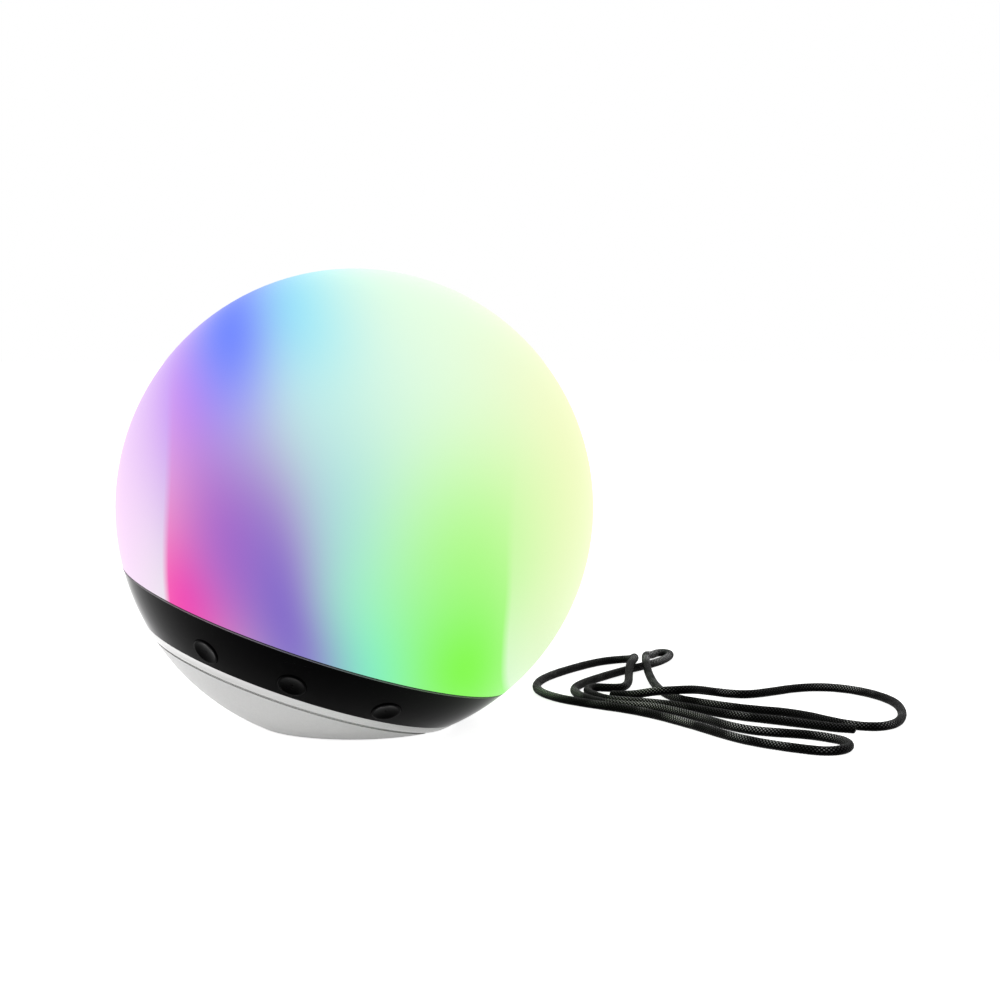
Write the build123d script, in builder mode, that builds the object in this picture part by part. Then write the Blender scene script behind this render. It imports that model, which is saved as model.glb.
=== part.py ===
from build123d import *
from math import asin, atan2, cos, degrees, pi, radians, sin, sqrt, tan
import os

# A battery garden globe light. The ball leans and stands on a flat that is cut
# across its light base. All sizes are millimetres. The ground is Z = 0, the ball's
# centre is straight above the origin, and the lamp axis leans towards +X.

# --- the ball and how it stands
globe_radius = 100.0          # outside of diffuser, band and base
lean = 18.8                   # lamp axis from the vertical, degrees
flat_cut = 8.0                # what the ground takes off the ball
flat_rim_radius = 10.0        # rounding between flat and ball
flat_spread = 0.32            # flat out past the start of a tangent rounding
floor_thickness = 3.4         # base wall above the flat
pad_inset = 5.5               # pad back from the edge of the flat
pad_thickness = 1.7
pad_proud = 0.5               # pad below the flat
pad_gap = 0.2                 # round the pad in its recess
pad_chamfer = 0.4

# --- heights along the lamp axis
band_rise = 27.9              # black band above the ball's lowest point
band_height = 19.25
diffuser_gap = 0.5            # between band and diffuser
trim_drop = 0.3               # between band and trim ring
trim_height = 3.6
shoulder_drop = 0.9           # groove between trim ring and the base's round outside

# --- walls
diffuser_wall = 2.4
diffuser_flange_width = 13.2  # in-turned rim
band_wall = 2.6
band_edge_chamfer = 0.4
ledge_reach = 6.0             # ledge that carries everything, in past the diffuser's rim
ledge_thickness = 2.2
band_foot_width = 6.3         # the band's lower flange
band_foot_thickness = 2.0
bowl_wall = 2.7
neck_gap = 0.6                # base neck inside the band's lower flange
neck_wall = 2.6
neck_rise = 1.8               # neck up into the band
trim_gap = 0.05               # trim ring on the neck
trim_bulge = 0.5              # bead of the trim ring, outside the ball
trim_edge_drop = 0.3          # its edges, inside the ball
gasket_inset = 0.5            # diffuser gasket back from the outside
bowl_gasket_inset = 0.7       # gasket out from the band's lower flange
bowl_gasket_width = 3.2
bowl_gasket_sunk = 0.5        # part of the gasket that is let into the band
gasket_gap = 0.1

# --- fasteners
screw_shank = 1.5             # radius
screw_head = 2.75
screw_head_height = 2.0
screw_recess = 1.3            # hexagon socket, radius
screw_recess_depth = 1.1
screw_hole = 1.7
thread_gap = 0.05             # screw in its thread, whose form is left out
small_shank = 1.0
small_head = 1.9
small_head_height = 1.3
small_recess = 0.9
small_recess_depth = 0.7

# --- diffuser fixing
diffuser_bosses = 3
diffuser_boss_start = -15.0
diffuser_boss_inset = 3.5     # from the inside of the diffuser's rim
diffuser_boss_radius = 3.4
diffuser_boss_height = 8.0    # above the rim's underside
diffuser_pilot_depth = 6.5
diffuser_screw_length = 8.0

# --- lamp plate, LED board and reflector
carrier_gap = 1.0             # plate inside the diffuser's rim
carrier_thickness = 2.0
carrier_screws_count = 5
carrier_screw_start = 40.0
carrier_screw_inset = 2.4     # from the plate's edge
carrier_boss_radius = 3.0
carrier_boss_height = 5.0
carrier_screw_length = 6.0
led_board_radius = 46.0
board_thickness = 1.6
wire_hole_radius = 6.0
led_size = 5.0
led_height = 1.5
led_ring_insets = (10.0, 28.0)  # from the LED board's edge
led_ring_counts = (16, 8)
led_board_screw_inset = 19.0
reflector_inner_gap = 1.0     # round the LED board
reflector_foot_width = 6.0
reflector_gap = 0.6           # reflector inside the diffuser's rim
reflector_rise = 6.0
reflector_wall = 1.2
plate_screws_count = 3
plate_screw_length = 3.4
led_plug_x = 9.5              # plug on the LED board
led_plug_length = 5.0
led_plug_width = 6.0
led_plug_height = 3.6

# --- control board under the lamp plate
control_x = -17.0
control_length = 58.0
control_width = 48.0
standoff_radius = 2.6
standoff_height = 6.0
standoff_spigot = 1.6
standoff_inset = 4.0
control_screw_length = 4.0

# --- pillars that tie the base to the lamp plate
pillar_spots = ((19.0, -24.0), (19.0, 24.0), (47.0, 0.0))
pillar_radius = 4.0
pillar_rise = 6.1             # lower ends of the pillars above the band's foot
pillar_spigot = 2.0
pillar_thread_depth = 10.0
post_radius = 4.6
post_gap = 0.3
bowl_screw_drop = 2.5         # screw heads' seats under the band's foot
bowl_screw_length = 16.0
counterbore_radius = 3.2

# --- battery
cell_radius = 9.2
cell_length = 65.0
cell_pitch = 20.0
cell_mid_x = -9.0
cell_nub_radius = 3.0
cell_nub_height = 1.2
cell_play = 0.2
tray_wall = 1.2
tray_base = 1.4
tray_gap = 0.5                # tray's corners to the base's inside
tray_side = 1.2
tray_end_height = 13.0
contact_thickness = 0.5
contact_size = 10.0
contact_spring_base = 3.2
contact_spring_tip = 1.6
clamp_width = 12.0
clamp_thickness = 1.0
clamp_leg = 14.0
tray_screw_spacing = 40.0
tray_screw_length = 6.0
tray_post_radius = 3.4

# --- push buttons, sizes along each button's own axis count inwards from the ball
button_names = ("left", "middle", "right")
button_azimuths = (-118.5, -89.3, -58.5)
button_drop = 4.4             # button centres under the band's middle, along the ball
button_radius = 5.9
button_hole_gap = 0.2
button_proud = 0.4
button_dish = 0.75
button_rim = 0.9
button_round = 0.45
button_travel = 0.8
seat_depth = 2.95
seal_thickness = 0.8
seal_gap = 0.06
seal_bore_gap = 0.05
flange_radius = 6.9
flange_gap = 0.05
flange_thickness = 1.0
tube_bore = 7.2
tube_outer = 8.3
post_length = 0.4
button_post_radius = 2.5
stem_radius = 1.7
stem_gap = 0.1
press_margin = 0.1            # left over at full press
switch_size = 6.0
switch_height = 2.5
switch_floor = 0.25
stem_length = 2.2
switch_board_length = 25.0
switch_board_width = 11.6
switch_board_thickness = 1.2
switch_screw_spacing = 20.4
switch_boss_radius = 2.2
switch_screw_length = 4.0
switch_pilot_depth = 4.4

# --- charging port at the back, in its own tilted frame
port_azimuth = 90.0
port_drop = 5.2
flap_half_width = 8.2
flap_low = -6.2
flap_gap = 0.3
flap_depth = 2.4
flap_corner = 2.5
recess_depth = 2.6
hinge_up = 4.1                # hinge axis, up the slope from the port's middle
hinge_depth = 1.9
hinge_barrel = 1.7
trunnion_radius = 0.8
trunnion_gap = 0.08
trunnion_length = 1.9
notch_radius = 2.2
notch_depth = 0.8
port_mid = -1.65              # middle of the plug slot, down the slope
slot_width = 12.4
slot_height = 6.7
slot_corner = 2.0
seal_wall = 1.0
seal_end = 3.7
port_block_width = 23.0
port_block_height = 15.0
port_block_start = 1.5
port_block_end = 10.4
socket_width = 8.94
socket_height = 3.26
socket_wall = 0.3
socket_corner = 1.3
socket_front = 4.3
tongue_width = 6.6
tongue_thickness = 0.7
tongue_inset = 0.6
socket_back = 1.0
charge_board_width = 22.0
charge_board_height = 11.0
charge_screw_spacing = 17.8
charge_screw_length = 4.5

# --- inside leads
lead_radius = 1.2
lead_bend = 3.0
long_lead_bend = 6.0

# --- hanging rope
rope_radius = 2.0
arc_share = 0.45              # of the shorter run that an arc takes

os.makedirs("parts", exist_ok=True)


# ---------------------------------------------------------------- sizes that follow
def ring_at(height, radius=globe_radius):
    # radius of the circle that a sphere has at a height
    return sqrt(radius ** 2 - height ** 2)


def slope_at(height, radius=globe_radius):
    # angle of that circle, seen from the ball centre
    return degrees(asin(height / radius))


centre_height = globe_radius - flat_cut                  # ball centre above the ground
flat_radius = ring_at(centre_height - pad_proud - flat_rim_radius,
                      globe_radius - flat_rim_radius) + flat_spread
pad_radius = flat_radius - pad_inset

# heights along the lamp axis, measured from the ball centre
band_bottom = band_rise - globe_radius
band_top = band_bottom + band_height
diffuser_edge = band_top + diffuser_gap
trim_top = band_bottom - trim_drop
trim_bottom = trim_top - trim_height
bowl_shoulder = trim_bottom - shoulder_drop
neck_top = band_bottom + neck_rise
pillar_end = band_bottom + pillar_rise
bowl_screw_seat = band_bottom - bowl_screw_drop

# radii about the lamp axis
diffuser_flange_radius = ring_at(diffuser_edge) - diffuser_flange_width
diffuser_boss_circle = diffuser_flange_radius + diffuser_boss_inset
ledge_radius = diffuser_flange_radius - ledge_reach
carrier_radius = diffuser_flange_radius - carrier_gap
carrier_screw_circle = carrier_radius - carrier_screw_inset
reflector_outer = diffuser_flange_radius - reflector_gap
reflector_inner = led_board_radius + reflector_inner_gap
reflector_foot = reflector_inner + reflector_foot_width
reflector_screw_circle = (reflector_inner + reflector_foot) / 2
led_board_screw_circle = led_board_radius - led_board_screw_inset
led_ring_radii = [led_board_radius - inset for inset in led_ring_insets]
band_foot_radius = ring_at(band_bottom) - band_foot_width
neck_radius = band_foot_radius - neck_gap
bowl_gasket_inner = band_foot_radius + bowl_gasket_inset

# slopes of the buttons and the port on the ball
band_middle = (slope_at(band_top) + slope_at(band_bottom)) / 2
button_latitude = band_middle - degrees(button_drop / globe_radius)
port_latitude = band_middle - degrees(port_drop / globe_radius)

# the cells lie as low as the tray's corners allow
cell_end = cell_length / 2
contact_face = cell_end + cell_nub_height + cell_play
tray_end = contact_face + contact_thickness
tray_half = cell_pitch / 2 + cell_radius + cell_play + tray_side
tray_corner = sqrt((abs(cell_mid_x) + tray_half) ** 2 + (tray_end + tray_wall) ** 2)
tray_under = -ring_at(tray_corner, globe_radius - bowl_wall - tray_gap)
cell_height = tray_under + tray_base + cell_play + cell_radius


# ---------------------------------------------------------------- frames
tilt = radians(lean)
centre = Vector(0, 0, centre_height)
lamp_x = Vector(cos(tilt), 0, -sin(tilt))
lamp_y = Vector(0, 1, 0)
lamp_z = Vector(sin(tilt), 0, cos(tilt))
lamp_axis = Axis(centre, lamp_z)
section = Plane(origin=centre, x_dir=lamp_x, z_dir=-lamp_y)   # x out, y along the axis


def level(height):
    # plane across the lamp axis at a height from the ball centre
    return Plane(origin=centre + lamp_z * height, x_dir=lamp_x, z_dir=lamp_z)


def lamp_point(x, y, height):
    return centre + lamp_x * x + lamp_y * y + lamp_z * height


def radial_plane(azimuth, latitude, depth=0.0):
    # plane square to a radius of the ball: x along the band, y up the slope, z outwards
    a, b = radians(azimuth), radians(latitude)
    outward = lamp_x * (cos(b) * cos(a)) + lamp_y * (cos(b) * sin(a)) + lamp_z * sin(b)
    along = lamp_x * -sin(a) + lamp_y * cos(a)
    return Plane(origin=centre + outward * (globe_radius - depth), x_dir=along, z_dir=outward)


def profile_plane(azimuth, latitude):
    # plane that holds a radius of the ball: x along the band, y outwards
    face = radial_plane(azimuth, latitude)
    return Plane(origin=face.origin, x_dir=face.x_dir, z_dir=-face.y_dir)


def turned_over(plane):
    # the same plane facing the other way, so that its y counts backwards
    return Plane(origin=plane.origin, x_dir=plane.x_dir, z_dir=-plane.z_dir)


def save(piece, name):
    piece.label = name
    export_step(piece, "parts/" + name + ".step")


def screws(plane, spots, length, head=screw_head, head_height=screw_head_height,
           shank=screw_shank, recess=screw_recess, recess_depth=screw_recess_depth):
    # heads stand on the plane, shanks go the other way
    with BuildPart() as group:
        with BuildSketch(plane):
            with Locations(*spots):
                Circle(head)
        extrude(amount=head_height)
        with BuildSketch(plane):
            with Locations(*spots):
                Circle(shank)
        extrude(amount=-length)
        with BuildSketch(plane.offset(head_height)):
            with Locations(*spots):
                RegularPolygon(recess, 6)
        extrude(amount=-recess_depth, mode=Mode.SUBTRACT)
    return group.part


def small_screws(plane, spots, length):
    return screws(plane, spots, length, small_head, small_head_height,
                  small_shank, small_recess, small_recess_depth)


def bend_radii(points):
    # each bend takes the same share of the shorter of its two runs
    radii = []
    for before, here, after in zip(points, points[1:], points[2:]):
        turn = radians((here - before).get_angle(after - here))
        radii.append(arc_share * min((here - before).length, (after - here).length) / tan(turn / 2))
    return radii


def cord(points, radius):
    # round cord along straight runs that are joined by tangent arcs
    with BuildPart() as tube:
        with BuildLine() as route:
            FilletPolyline(*points, radius=bend_radii(points))
        with BuildSketch(Plane(origin=points[0], z_dir=points[1] - points[0])):
            Circle(radius)
        sweep(path=route.wires()[0])
    return tube.part


def polar_spots(radius, count, start):
    return [(radius * cos(radians(start + 360 / count * i)),
             radius * sin(radians(start + 360 / count * i))) for i in range(count)]


# ---------------------------------------------------------------- shared shapes
flat_level = pad_proud                                   # the base's flat above the ground
rim_angle = degrees(atan2(flat_radius, centre_height - flat_level - flat_rim_radius))
rim_end_x = flat_radius + flat_rim_radius * sin(radians(rim_angle))
rim_end_z = flat_level + flat_rim_radius * (1 - cos(radians(rim_angle)))

# everything below the flat and its rounded rim, which the base and trim ring lack
with BuildPart() as ground_cut:
    with BuildSketch(Plane.XZ):
        with BuildLine():
            Line((0, flat_level), (flat_radius, flat_level))
            CenterArc((flat_radius, flat_level + flat_rim_radius), flat_rim_radius, 270, rim_angle)
            Polyline((rim_end_x, rim_end_z), (globe_radius, rim_end_z),
                     (globe_radius, -globe_radius), (0, -globe_radius), (0, flat_level))
        make_face()
    revolve(axis=Axis.Z)


# ---------------------------------------------------------------- diffuser
diffuser_spots = polar_spots(diffuser_boss_circle, diffuser_bosses, diffuser_boss_start)
inner_globe = globe_radius - diffuser_wall
rim_top = diffuser_edge + diffuser_wall
with BuildPart() as diffuser:
    with BuildSketch(section):
        with BuildLine():
            CenterArc((0, 0), globe_radius, slope_at(diffuser_edge), 90 - slope_at(diffuser_edge))
            Line((0, globe_radius), (0, inner_globe))
            CenterArc((0, 0), inner_globe, 90, slope_at(rim_top, inner_globe) - 90)
            Polyline((ring_at(rim_top, inner_globe), rim_top), (diffuser_flange_radius, rim_top),
                     (diffuser_flange_radius, diffuser_edge), (ring_at(diffuser_edge), diffuser_edge))
        make_face()
    revolve(axis=lamp_axis)
    with BuildSketch(level(diffuser_edge)):
        with Locations(*diffuser_spots):
            Circle(diffuser_boss_radius)
    extrude(amount=diffuser_boss_height)
    with BuildSketch(level(diffuser_edge)):
        with Locations(*diffuser_spots):
            Circle(screw_shank + thread_gap)
    extrude(amount=diffuser_pilot_depth, mode=Mode.SUBTRACT)
save(diffuser.part, "diffuser")

with BuildPart() as diffuser_gasket:
    with BuildSketch(level(band_top)):
        Circle(ring_at(band_top) - gasket_inset)
        Circle(diffuser_flange_radius + gasket_inset, mode=Mode.SUBTRACT)
        with Locations(*diffuser_spots):
            Circle(screw_hole, mode=Mode.SUBTRACT)
    extrude(amount=diffuser_edge - band_top)
save(diffuser_gasket.part, "diffuser_gasket")

ledge_under = band_top - ledge_thickness
save(screws(turned_over(level(ledge_under)),
            [(x, -y) for x, y in diffuser_spots], diffuser_screw_length), "diffuser_screws")


# ---------------------------------------------------------------- black band
inner_band = globe_radius - band_wall
foot_top = band_bottom + band_foot_thickness
chamfer_low = band_top - band_edge_chamfer
carrier_spots = polar_spots(carrier_screw_circle, carrier_screws_count, carrier_screw_start)
button_spots = [(azimuth, button_latitude) for azimuth in button_azimuths]
switch_spots = [(-switch_screw_spacing / 2, 0), (switch_screw_spacing / 2, 0)]
charge_spots = [(-charge_screw_spacing / 2, port_mid), (charge_screw_spacing / 2, port_mid)]

# depths of the push button stack, inwards from the ball
flange_top = seat_depth + seal_thickness + flange_gap
flange_under = flange_top + flange_thickness
post_end = flange_under + post_length
switch_top = post_end + button_travel + press_margin
switch_under = switch_top + switch_height
switch_board_back = switch_under + switch_board_thickness

hinge_line = radial_plane(port_azimuth, port_latitude, hinge_depth)
hinge_centre = hinge_line.origin + hinge_line.y_dir * hinge_up
across_hinge = Plane(origin=hinge_centre, x_dir=hinge_line.y_dir, z_dir=hinge_line.x_dir)
recess_low = flap_low - flap_gap
recess_high = hinge_up + hinge_barrel + flap_gap
recess_half = flap_half_width + flap_gap

with BuildPart() as band_housing:
    with BuildSketch(section):
        with BuildLine():
            CenterArc((0, 0), globe_radius, slope_at(band_bottom),
                      slope_at(chamfer_low) - slope_at(band_bottom))
            Polyline((ring_at(chamfer_low), chamfer_low),
                     (ring_at(chamfer_low) - band_edge_chamfer, band_top),
                     (ledge_radius, band_top), (ledge_radius, ledge_under),
                     (ring_at(ledge_under, inner_band), ledge_under))
            CenterArc((0, 0), inner_band, slope_at(ledge_under, inner_band),
                      slope_at(foot_top, inner_band) - slope_at(ledge_under, inner_band))
            Polyline((ring_at(foot_top, inner_band), foot_top), (band_foot_radius, foot_top),
                     (band_foot_radius, band_bottom), (ring_at(band_bottom), band_bottom))
        make_face()
    revolve(axis=lamp_axis)
    # bosses under the ledge for the lamp plate's screws
    with BuildSketch(level(ledge_under)):
        with Locations(*carrier_spots):
            Circle(carrier_boss_radius)
    extrude(amount=-carrier_boss_height)
    # guide tube and two screw bosses behind each push button
    for azimuth, latitude in button_spots:
        with BuildSketch(radial_plane(azimuth, latitude, switch_under)):
            Circle(tube_outer)
            with Locations(*switch_spots):
                Circle(switch_boss_radius)
        extrude(amount=switch_under - band_wall / 2)
    # block behind the charging port
    with BuildSketch(radial_plane(port_azimuth, port_latitude, port_block_end)):
        Rectangle(port_block_width, port_block_height)
    extrude(amount=port_block_end - port_block_start)
    # holes
    with BuildSketch(level(band_top)):
        with Locations(*carrier_spots):
            Circle(screw_shank + thread_gap)
    extrude(amount=-(ledge_thickness + carrier_boss_height), mode=Mode.SUBTRACT)
    with BuildSketch(level(band_top)):
        with Locations(*diffuser_spots):
            Circle(screw_hole)
    extrude(amount=-ledge_thickness, mode=Mode.SUBTRACT)
    with BuildSketch(level(band_bottom)):
        Circle(bowl_gasket_inner + bowl_gasket_width + gasket_gap)
        Circle(bowl_gasket_inner - gasket_gap, mode=Mode.SUBTRACT)
    extrude(amount=bowl_gasket_sunk, mode=Mode.SUBTRACT)
    for azimuth, latitude in button_spots:
        with BuildSketch(radial_plane(azimuth, latitude, switch_under)):
            Circle(tube_bore)
        extrude(amount=switch_under - seat_depth, mode=Mode.SUBTRACT)
        with BuildSketch(radial_plane(azimuth, latitude, switch_under)):
            with Locations(*switch_spots):
                Circle(small_shank + thread_gap)
        extrude(amount=switch_pilot_depth, mode=Mode.SUBTRACT)
        with BuildSketch(radial_plane(azimuth, latitude, seat_depth + press_margin)):
            Circle(button_radius + button_hole_gap)
        extrude(amount=seat_depth + globe_radius / 10, mode=Mode.SUBTRACT)
    # recess, plug slot and hinge seat of the charging port
    with BuildSketch(radial_plane(port_azimuth, port_latitude, recess_depth)):
        with Locations((0, (recess_low + recess_high) / 2)):
            Rectangle(2 * recess_half, recess_high - recess_low)
        fillet([v for v in vertices() if v.Y < 0], flap_corner + flap_gap)
    extrude(amount=recess_depth + globe_radius / 10, mode=Mode.SUBTRACT)
    with BuildSketch(radial_plane(port_azimuth, port_latitude, port_block_end)):
        with Locations((0, port_mid)):
            RectangleRounded(slot_width, slot_height, slot_corner)
        with Locations(*charge_spots):
            Circle(small_shank + thread_gap)
    extrude(amount=charge_screw_length, mode=Mode.SUBTRACT)
    with BuildSketch(radial_plane(port_azimuth, port_latitude, port_block_end)):
        with Locations((0, port_mid)):
            RectangleRounded(slot_width, slot_height, slot_corner)
    extrude(amount=port_block_end, mode=Mode.SUBTRACT)
    with BuildSketch(across_hinge):
        Circle(hinge_barrel + flap_gap)
    extrude(amount=recess_half, both=True, mode=Mode.SUBTRACT)
    with BuildSketch(across_hinge):
        Circle(trunnion_radius + trunnion_gap)
    extrude(amount=recess_half + trunnion_length, both=True, mode=Mode.SUBTRACT)
save(band_housing.part, "band_housing")


# ---------------------------------------------------------------- push buttons
dish_half = button_radius - button_rim
dish_radius = (dish_half ** 2 + button_dish ** 2) / (2 * button_dish)
dish_angle = degrees(asin(dish_half / dish_radius))
for name, (azimuth, latitude) in zip(button_names, button_spots):
    across_button = profile_plane(azimuth, latitude)
    face = radial_plane(azimuth, latitude)
    with BuildPart() as button:
        with BuildSketch(across_button):
            with BuildLine():
                Polyline((0, -post_end), (button_post_radius, -post_end),
                         (button_post_radius, -flange_under), (flange_radius, -flange_under),
                         (flange_radius, -flange_top), (button_radius, -flange_top),
                         (button_radius, button_proud - button_round))
                CenterArc((button_radius - button_round, button_proud - button_round),
                          button_round, 0, 90)
                Line((button_radius - button_round, button_proud), (dish_half, button_proud))
                CenterArc((0, button_proud - button_dish + dish_radius), dish_radius,
                          270 + dish_angle, -dish_angle)
                Line((0, button_proud - button_dish), (0, -post_end))
            make_face()
        revolve(axis=Axis(face.origin, face.z_dir))
    save(button.part, "button_" + name)
    with BuildPart() as stem:
        with BuildSketch(radial_plane(azimuth, latitude, post_end)):
            Circle(stem_radius)
        extrude(amount=-stem_length)
    save(stem.part, "switch_stem_" + name)

with BuildPart() as button_seals:
    for azimuth, latitude in button_spots:
        with BuildSketch(radial_plane(azimuth, latitude, seat_depth)):
            Circle(tube_bore - seal_bore_gap)
            Circle(button_radius + seal_gap, mode=Mode.SUBTRACT)
        extrude(amount=-seal_thickness)
save(button_seals.part, "button_seals")

with BuildPart() as switch_bodies:
    for azimuth, latitude in button_spots:
        with BuildSketch(radial_plane(azimuth, latitude, switch_under)):
            Rectangle(switch_size, switch_size)
        extrude(amount=switch_height)
        with BuildSketch(radial_plane(azimuth, latitude, switch_under - switch_floor)):
            Circle(stem_radius + stem_gap)
        extrude(amount=switch_height, mode=Mode.SUBTRACT)
save(switch_bodies.part, "switch_bodies")

with BuildPart() as switch_boards:
    for azimuth, latitude in button_spots:
        with BuildSketch(radial_plane(azimuth, latitude, switch_under)):
            Rectangle(switch_board_length, switch_board_width)
            with Locations(*switch_spots):
                Circle(small_shank + thread_gap, mode=Mode.SUBTRACT)
        extrude(amount=-switch_board_thickness)
save(switch_boards.part, "switch_boards")

with BuildPart() as switch_board_screws:
    for azimuth, latitude in button_spots:
        back = turned_over(radial_plane(azimuth, latitude, switch_board_back))
        add(small_screws(back, switch_spots, switch_screw_length))
save(switch_board_screws.part, "switch_board_screws")


# ---------------------------------------------------------------- charging port
with BuildPart() as charge_flap:
    with BuildSketch(radial_plane(port_azimuth, port_latitude, flap_depth)):
        with Locations((0, (flap_low + hinge_up) / 2)):
            Rectangle(2 * flap_half_width, hinge_up - flap_low)
        fillet([v for v in vertices() if v.Y < 0], flap_corner)
    extrude(amount=flap_depth + flap_gap)
    with BuildSketch(across_hinge):
        Circle(hinge_barrel)
    extrude(amount=flap_half_width, both=True)
    with BuildSketch(across_hinge):
        Circle(trunnion_radius)
    extrude(amount=flap_half_width + trunnion_length, both=True)
    # nail notch at the free edge
    with BuildSketch(radial_plane(port_azimuth, port_latitude, notch_depth)):
        with Locations((0, flap_low)):
            Circle(notch_radius)
    extrude(amount=notch_depth + flap_gap, mode=Mode.SUBTRACT)
    # the outside is flush with the ball
    with BuildSketch(section):
        with BuildLine():
            CenterArc((0, 0), globe_radius, -90, 180)
            Line((0, globe_radius), (0, -globe_radius))
        make_face()
    revolve(axis=lamp_axis, mode=Mode.INTERSECT)
save(charge_flap.part, "charge_flap")

seal_width = slot_width - 2 * flap_gap
seal_height = slot_height - 2 * flap_gap
with BuildPart() as flap_seal:
    with BuildSketch(radial_plane(port_azimuth, port_latitude, seal_end)):
        with Locations((0, port_mid)):
            RectangleRounded(seal_width, seal_height, slot_corner - flap_gap)
            RectangleRounded(seal_width - 2 * seal_wall, seal_height - 2 * seal_wall,
                             slot_corner - seal_wall, mode=Mode.SUBTRACT)
    extrude(amount=seal_end - flap_depth)
save(flap_seal.part, "flap_seal")

with BuildPart() as charge_socket:
    with BuildSketch(radial_plane(port_azimuth, port_latitude, port_block_end)):
        with Locations((0, port_mid)):
            RectangleRounded(socket_width, socket_height, socket_corner)
    extrude(amount=port_block_end - socket_front)
    with BuildSketch(radial_plane(port_azimuth, port_latitude, port_block_end - socket_back)):
        with Locations((0, port_mid)):
            RectangleRounded(socket_width - 2 * socket_wall, socket_height - 2 * socket_wall,
                             socket_corner - socket_wall)
    extrude(amount=port_block_end, mode=Mode.SUBTRACT)
    with BuildSketch(radial_plane(port_azimuth, port_latitude, port_block_end - socket_back)):
        with Locations((0, port_mid)):
            Rectangle(tongue_width, tongue_thickness)
    extrude(amount=port_block_end - socket_back - socket_front - tongue_inset)
save(charge_socket.part, "charge_socket")

with BuildPart() as charge_board:
    with BuildSketch(radial_plane(port_azimuth, port_latitude, port_block_end)):
        with Locations((0, port_mid)):
            Rectangle(charge_board_width, charge_board_height)
        with Locations(*charge_spots):
            Circle(small_shank + thread_gap, mode=Mode.SUBTRACT)
    extrude(amount=-switch_board_thickness)
save(charge_board.part, "charge_board")

charge_back = radial_plane(port_azimuth, port_latitude, port_block_end + switch_board_thickness)
save(small_screws(turned_over(charge_back),
                  [(x, -y) for x, y in charge_spots], charge_screw_length), "charge_board_screws")


# ---------------------------------------------------------------- lamp plate
carrier_top = band_top + carrier_thickness
led_board_spots = polar_spots(led_board_screw_circle, plate_screws_count, 90)
reflector_spots = polar_spots(reflector_screw_circle, plate_screws_count, 30)
standoff_x = control_length / 2 - standoff_inset
standoff_y = control_width / 2 - standoff_inset
standoff_spots = [(control_x + i * standoff_x, j * standoff_y) for i in (-1, 1) for j in (-1, 1)]
with BuildPart() as led_carrier:
    with BuildSketch(level(band_top)):
        Circle(carrier_radius)
        Circle(wire_hole_radius, mode=Mode.SUBTRACT)
        with Locations(*carrier_spots):
            Circle(screw_hole, mode=Mode.SUBTRACT)
        with Locations(*led_board_spots, *reflector_spots):
            Circle(screw_shank + thread_gap, mode=Mode.SUBTRACT)
        with Locations(*standoff_spots):
            Circle(standoff_spigot + thread_gap, mode=Mode.SUBTRACT)
        with Locations(*pillar_spots):
            Circle(pillar_spigot + thread_gap, mode=Mode.SUBTRACT)
    extrude(amount=carrier_thickness)
save(led_carrier.part, "led_carrier")
save(screws(level(carrier_top), carrier_spots, carrier_screw_length), "carrier_screws")

led_face = carrier_top + board_thickness
with BuildPart() as led_board:
    with BuildSketch(level(carrier_top)):
        Circle(led_board_radius)
        Circle(wire_hole_radius, mode=Mode.SUBTRACT)
        with Locations(*led_board_spots):
            Circle(screw_hole, mode=Mode.SUBTRACT)
    extrude(amount=board_thickness)
save(led_board.part, "led_board")

with BuildPart() as leds:
    for ring, count in zip(led_ring_radii, led_ring_counts):
        with BuildSketch(level(led_face)):
            with PolarLocations(ring, count):
                Rectangle(led_size, led_size)
        extrude(amount=led_height)
save(leds.part, "leds")

reflector_top = carrier_top + reflector_wall
with BuildPart() as reflector:
    with BuildSketch(section):
        with BuildLine():
            Polyline((reflector_inner, carrier_top), (reflector_foot, carrier_top),
                     (reflector_outer, carrier_top + reflector_rise),
                     (reflector_outer, reflector_top + reflector_rise),
                     (reflector_foot, reflector_top), (reflector_inner, reflector_top),
                     (reflector_inner, carrier_top))
        make_face()
    revolve(axis=lamp_axis)
    with BuildSketch(level(carrier_top)):
        with Locations(*reflector_spots):
            Circle(screw_hole)
    extrude(amount=reflector_wall, mode=Mode.SUBTRACT)
save(reflector.part, "reflector")
save(screws(level(led_face), led_board_spots, plate_screw_length), "led_board_screws")
save(small_screws(level(reflector_top), reflector_spots, plate_screw_length), "reflector_screws")


# ---------------------------------------------------------------- control board
control_top = band_top - standoff_height
control_under = control_top - board_thickness
with BuildPart() as board_standoffs:
    with BuildSketch(level(control_top)):
        with Locations(*standoff_spots):
            Circle(standoff_radius)
            Circle(screw_shank + thread_gap, mode=Mode.SUBTRACT)
    extrude(amount=standoff_height)
    with BuildSketch(level(band_top)):
        with Locations(*standoff_spots):
            Circle(standoff_spigot)
    extrude(amount=carrier_thickness - thread_gap)
save(board_standoffs.part, "board_standoffs")

with BuildPart() as control_board:
    with BuildSketch(level(control_under)):
        with Locations((control_x, 0)):
            Rectangle(control_length, control_width)
        with Locations(*standoff_spots):
            Circle(screw_hole, mode=Mode.SUBTRACT)
    extrude(amount=board_thickness)
save(control_board.part, "control_board")
save(screws(turned_over(level(control_under)),
            [(x, -y) for x, y in standoff_spots], control_screw_length), "control_screws")

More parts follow.
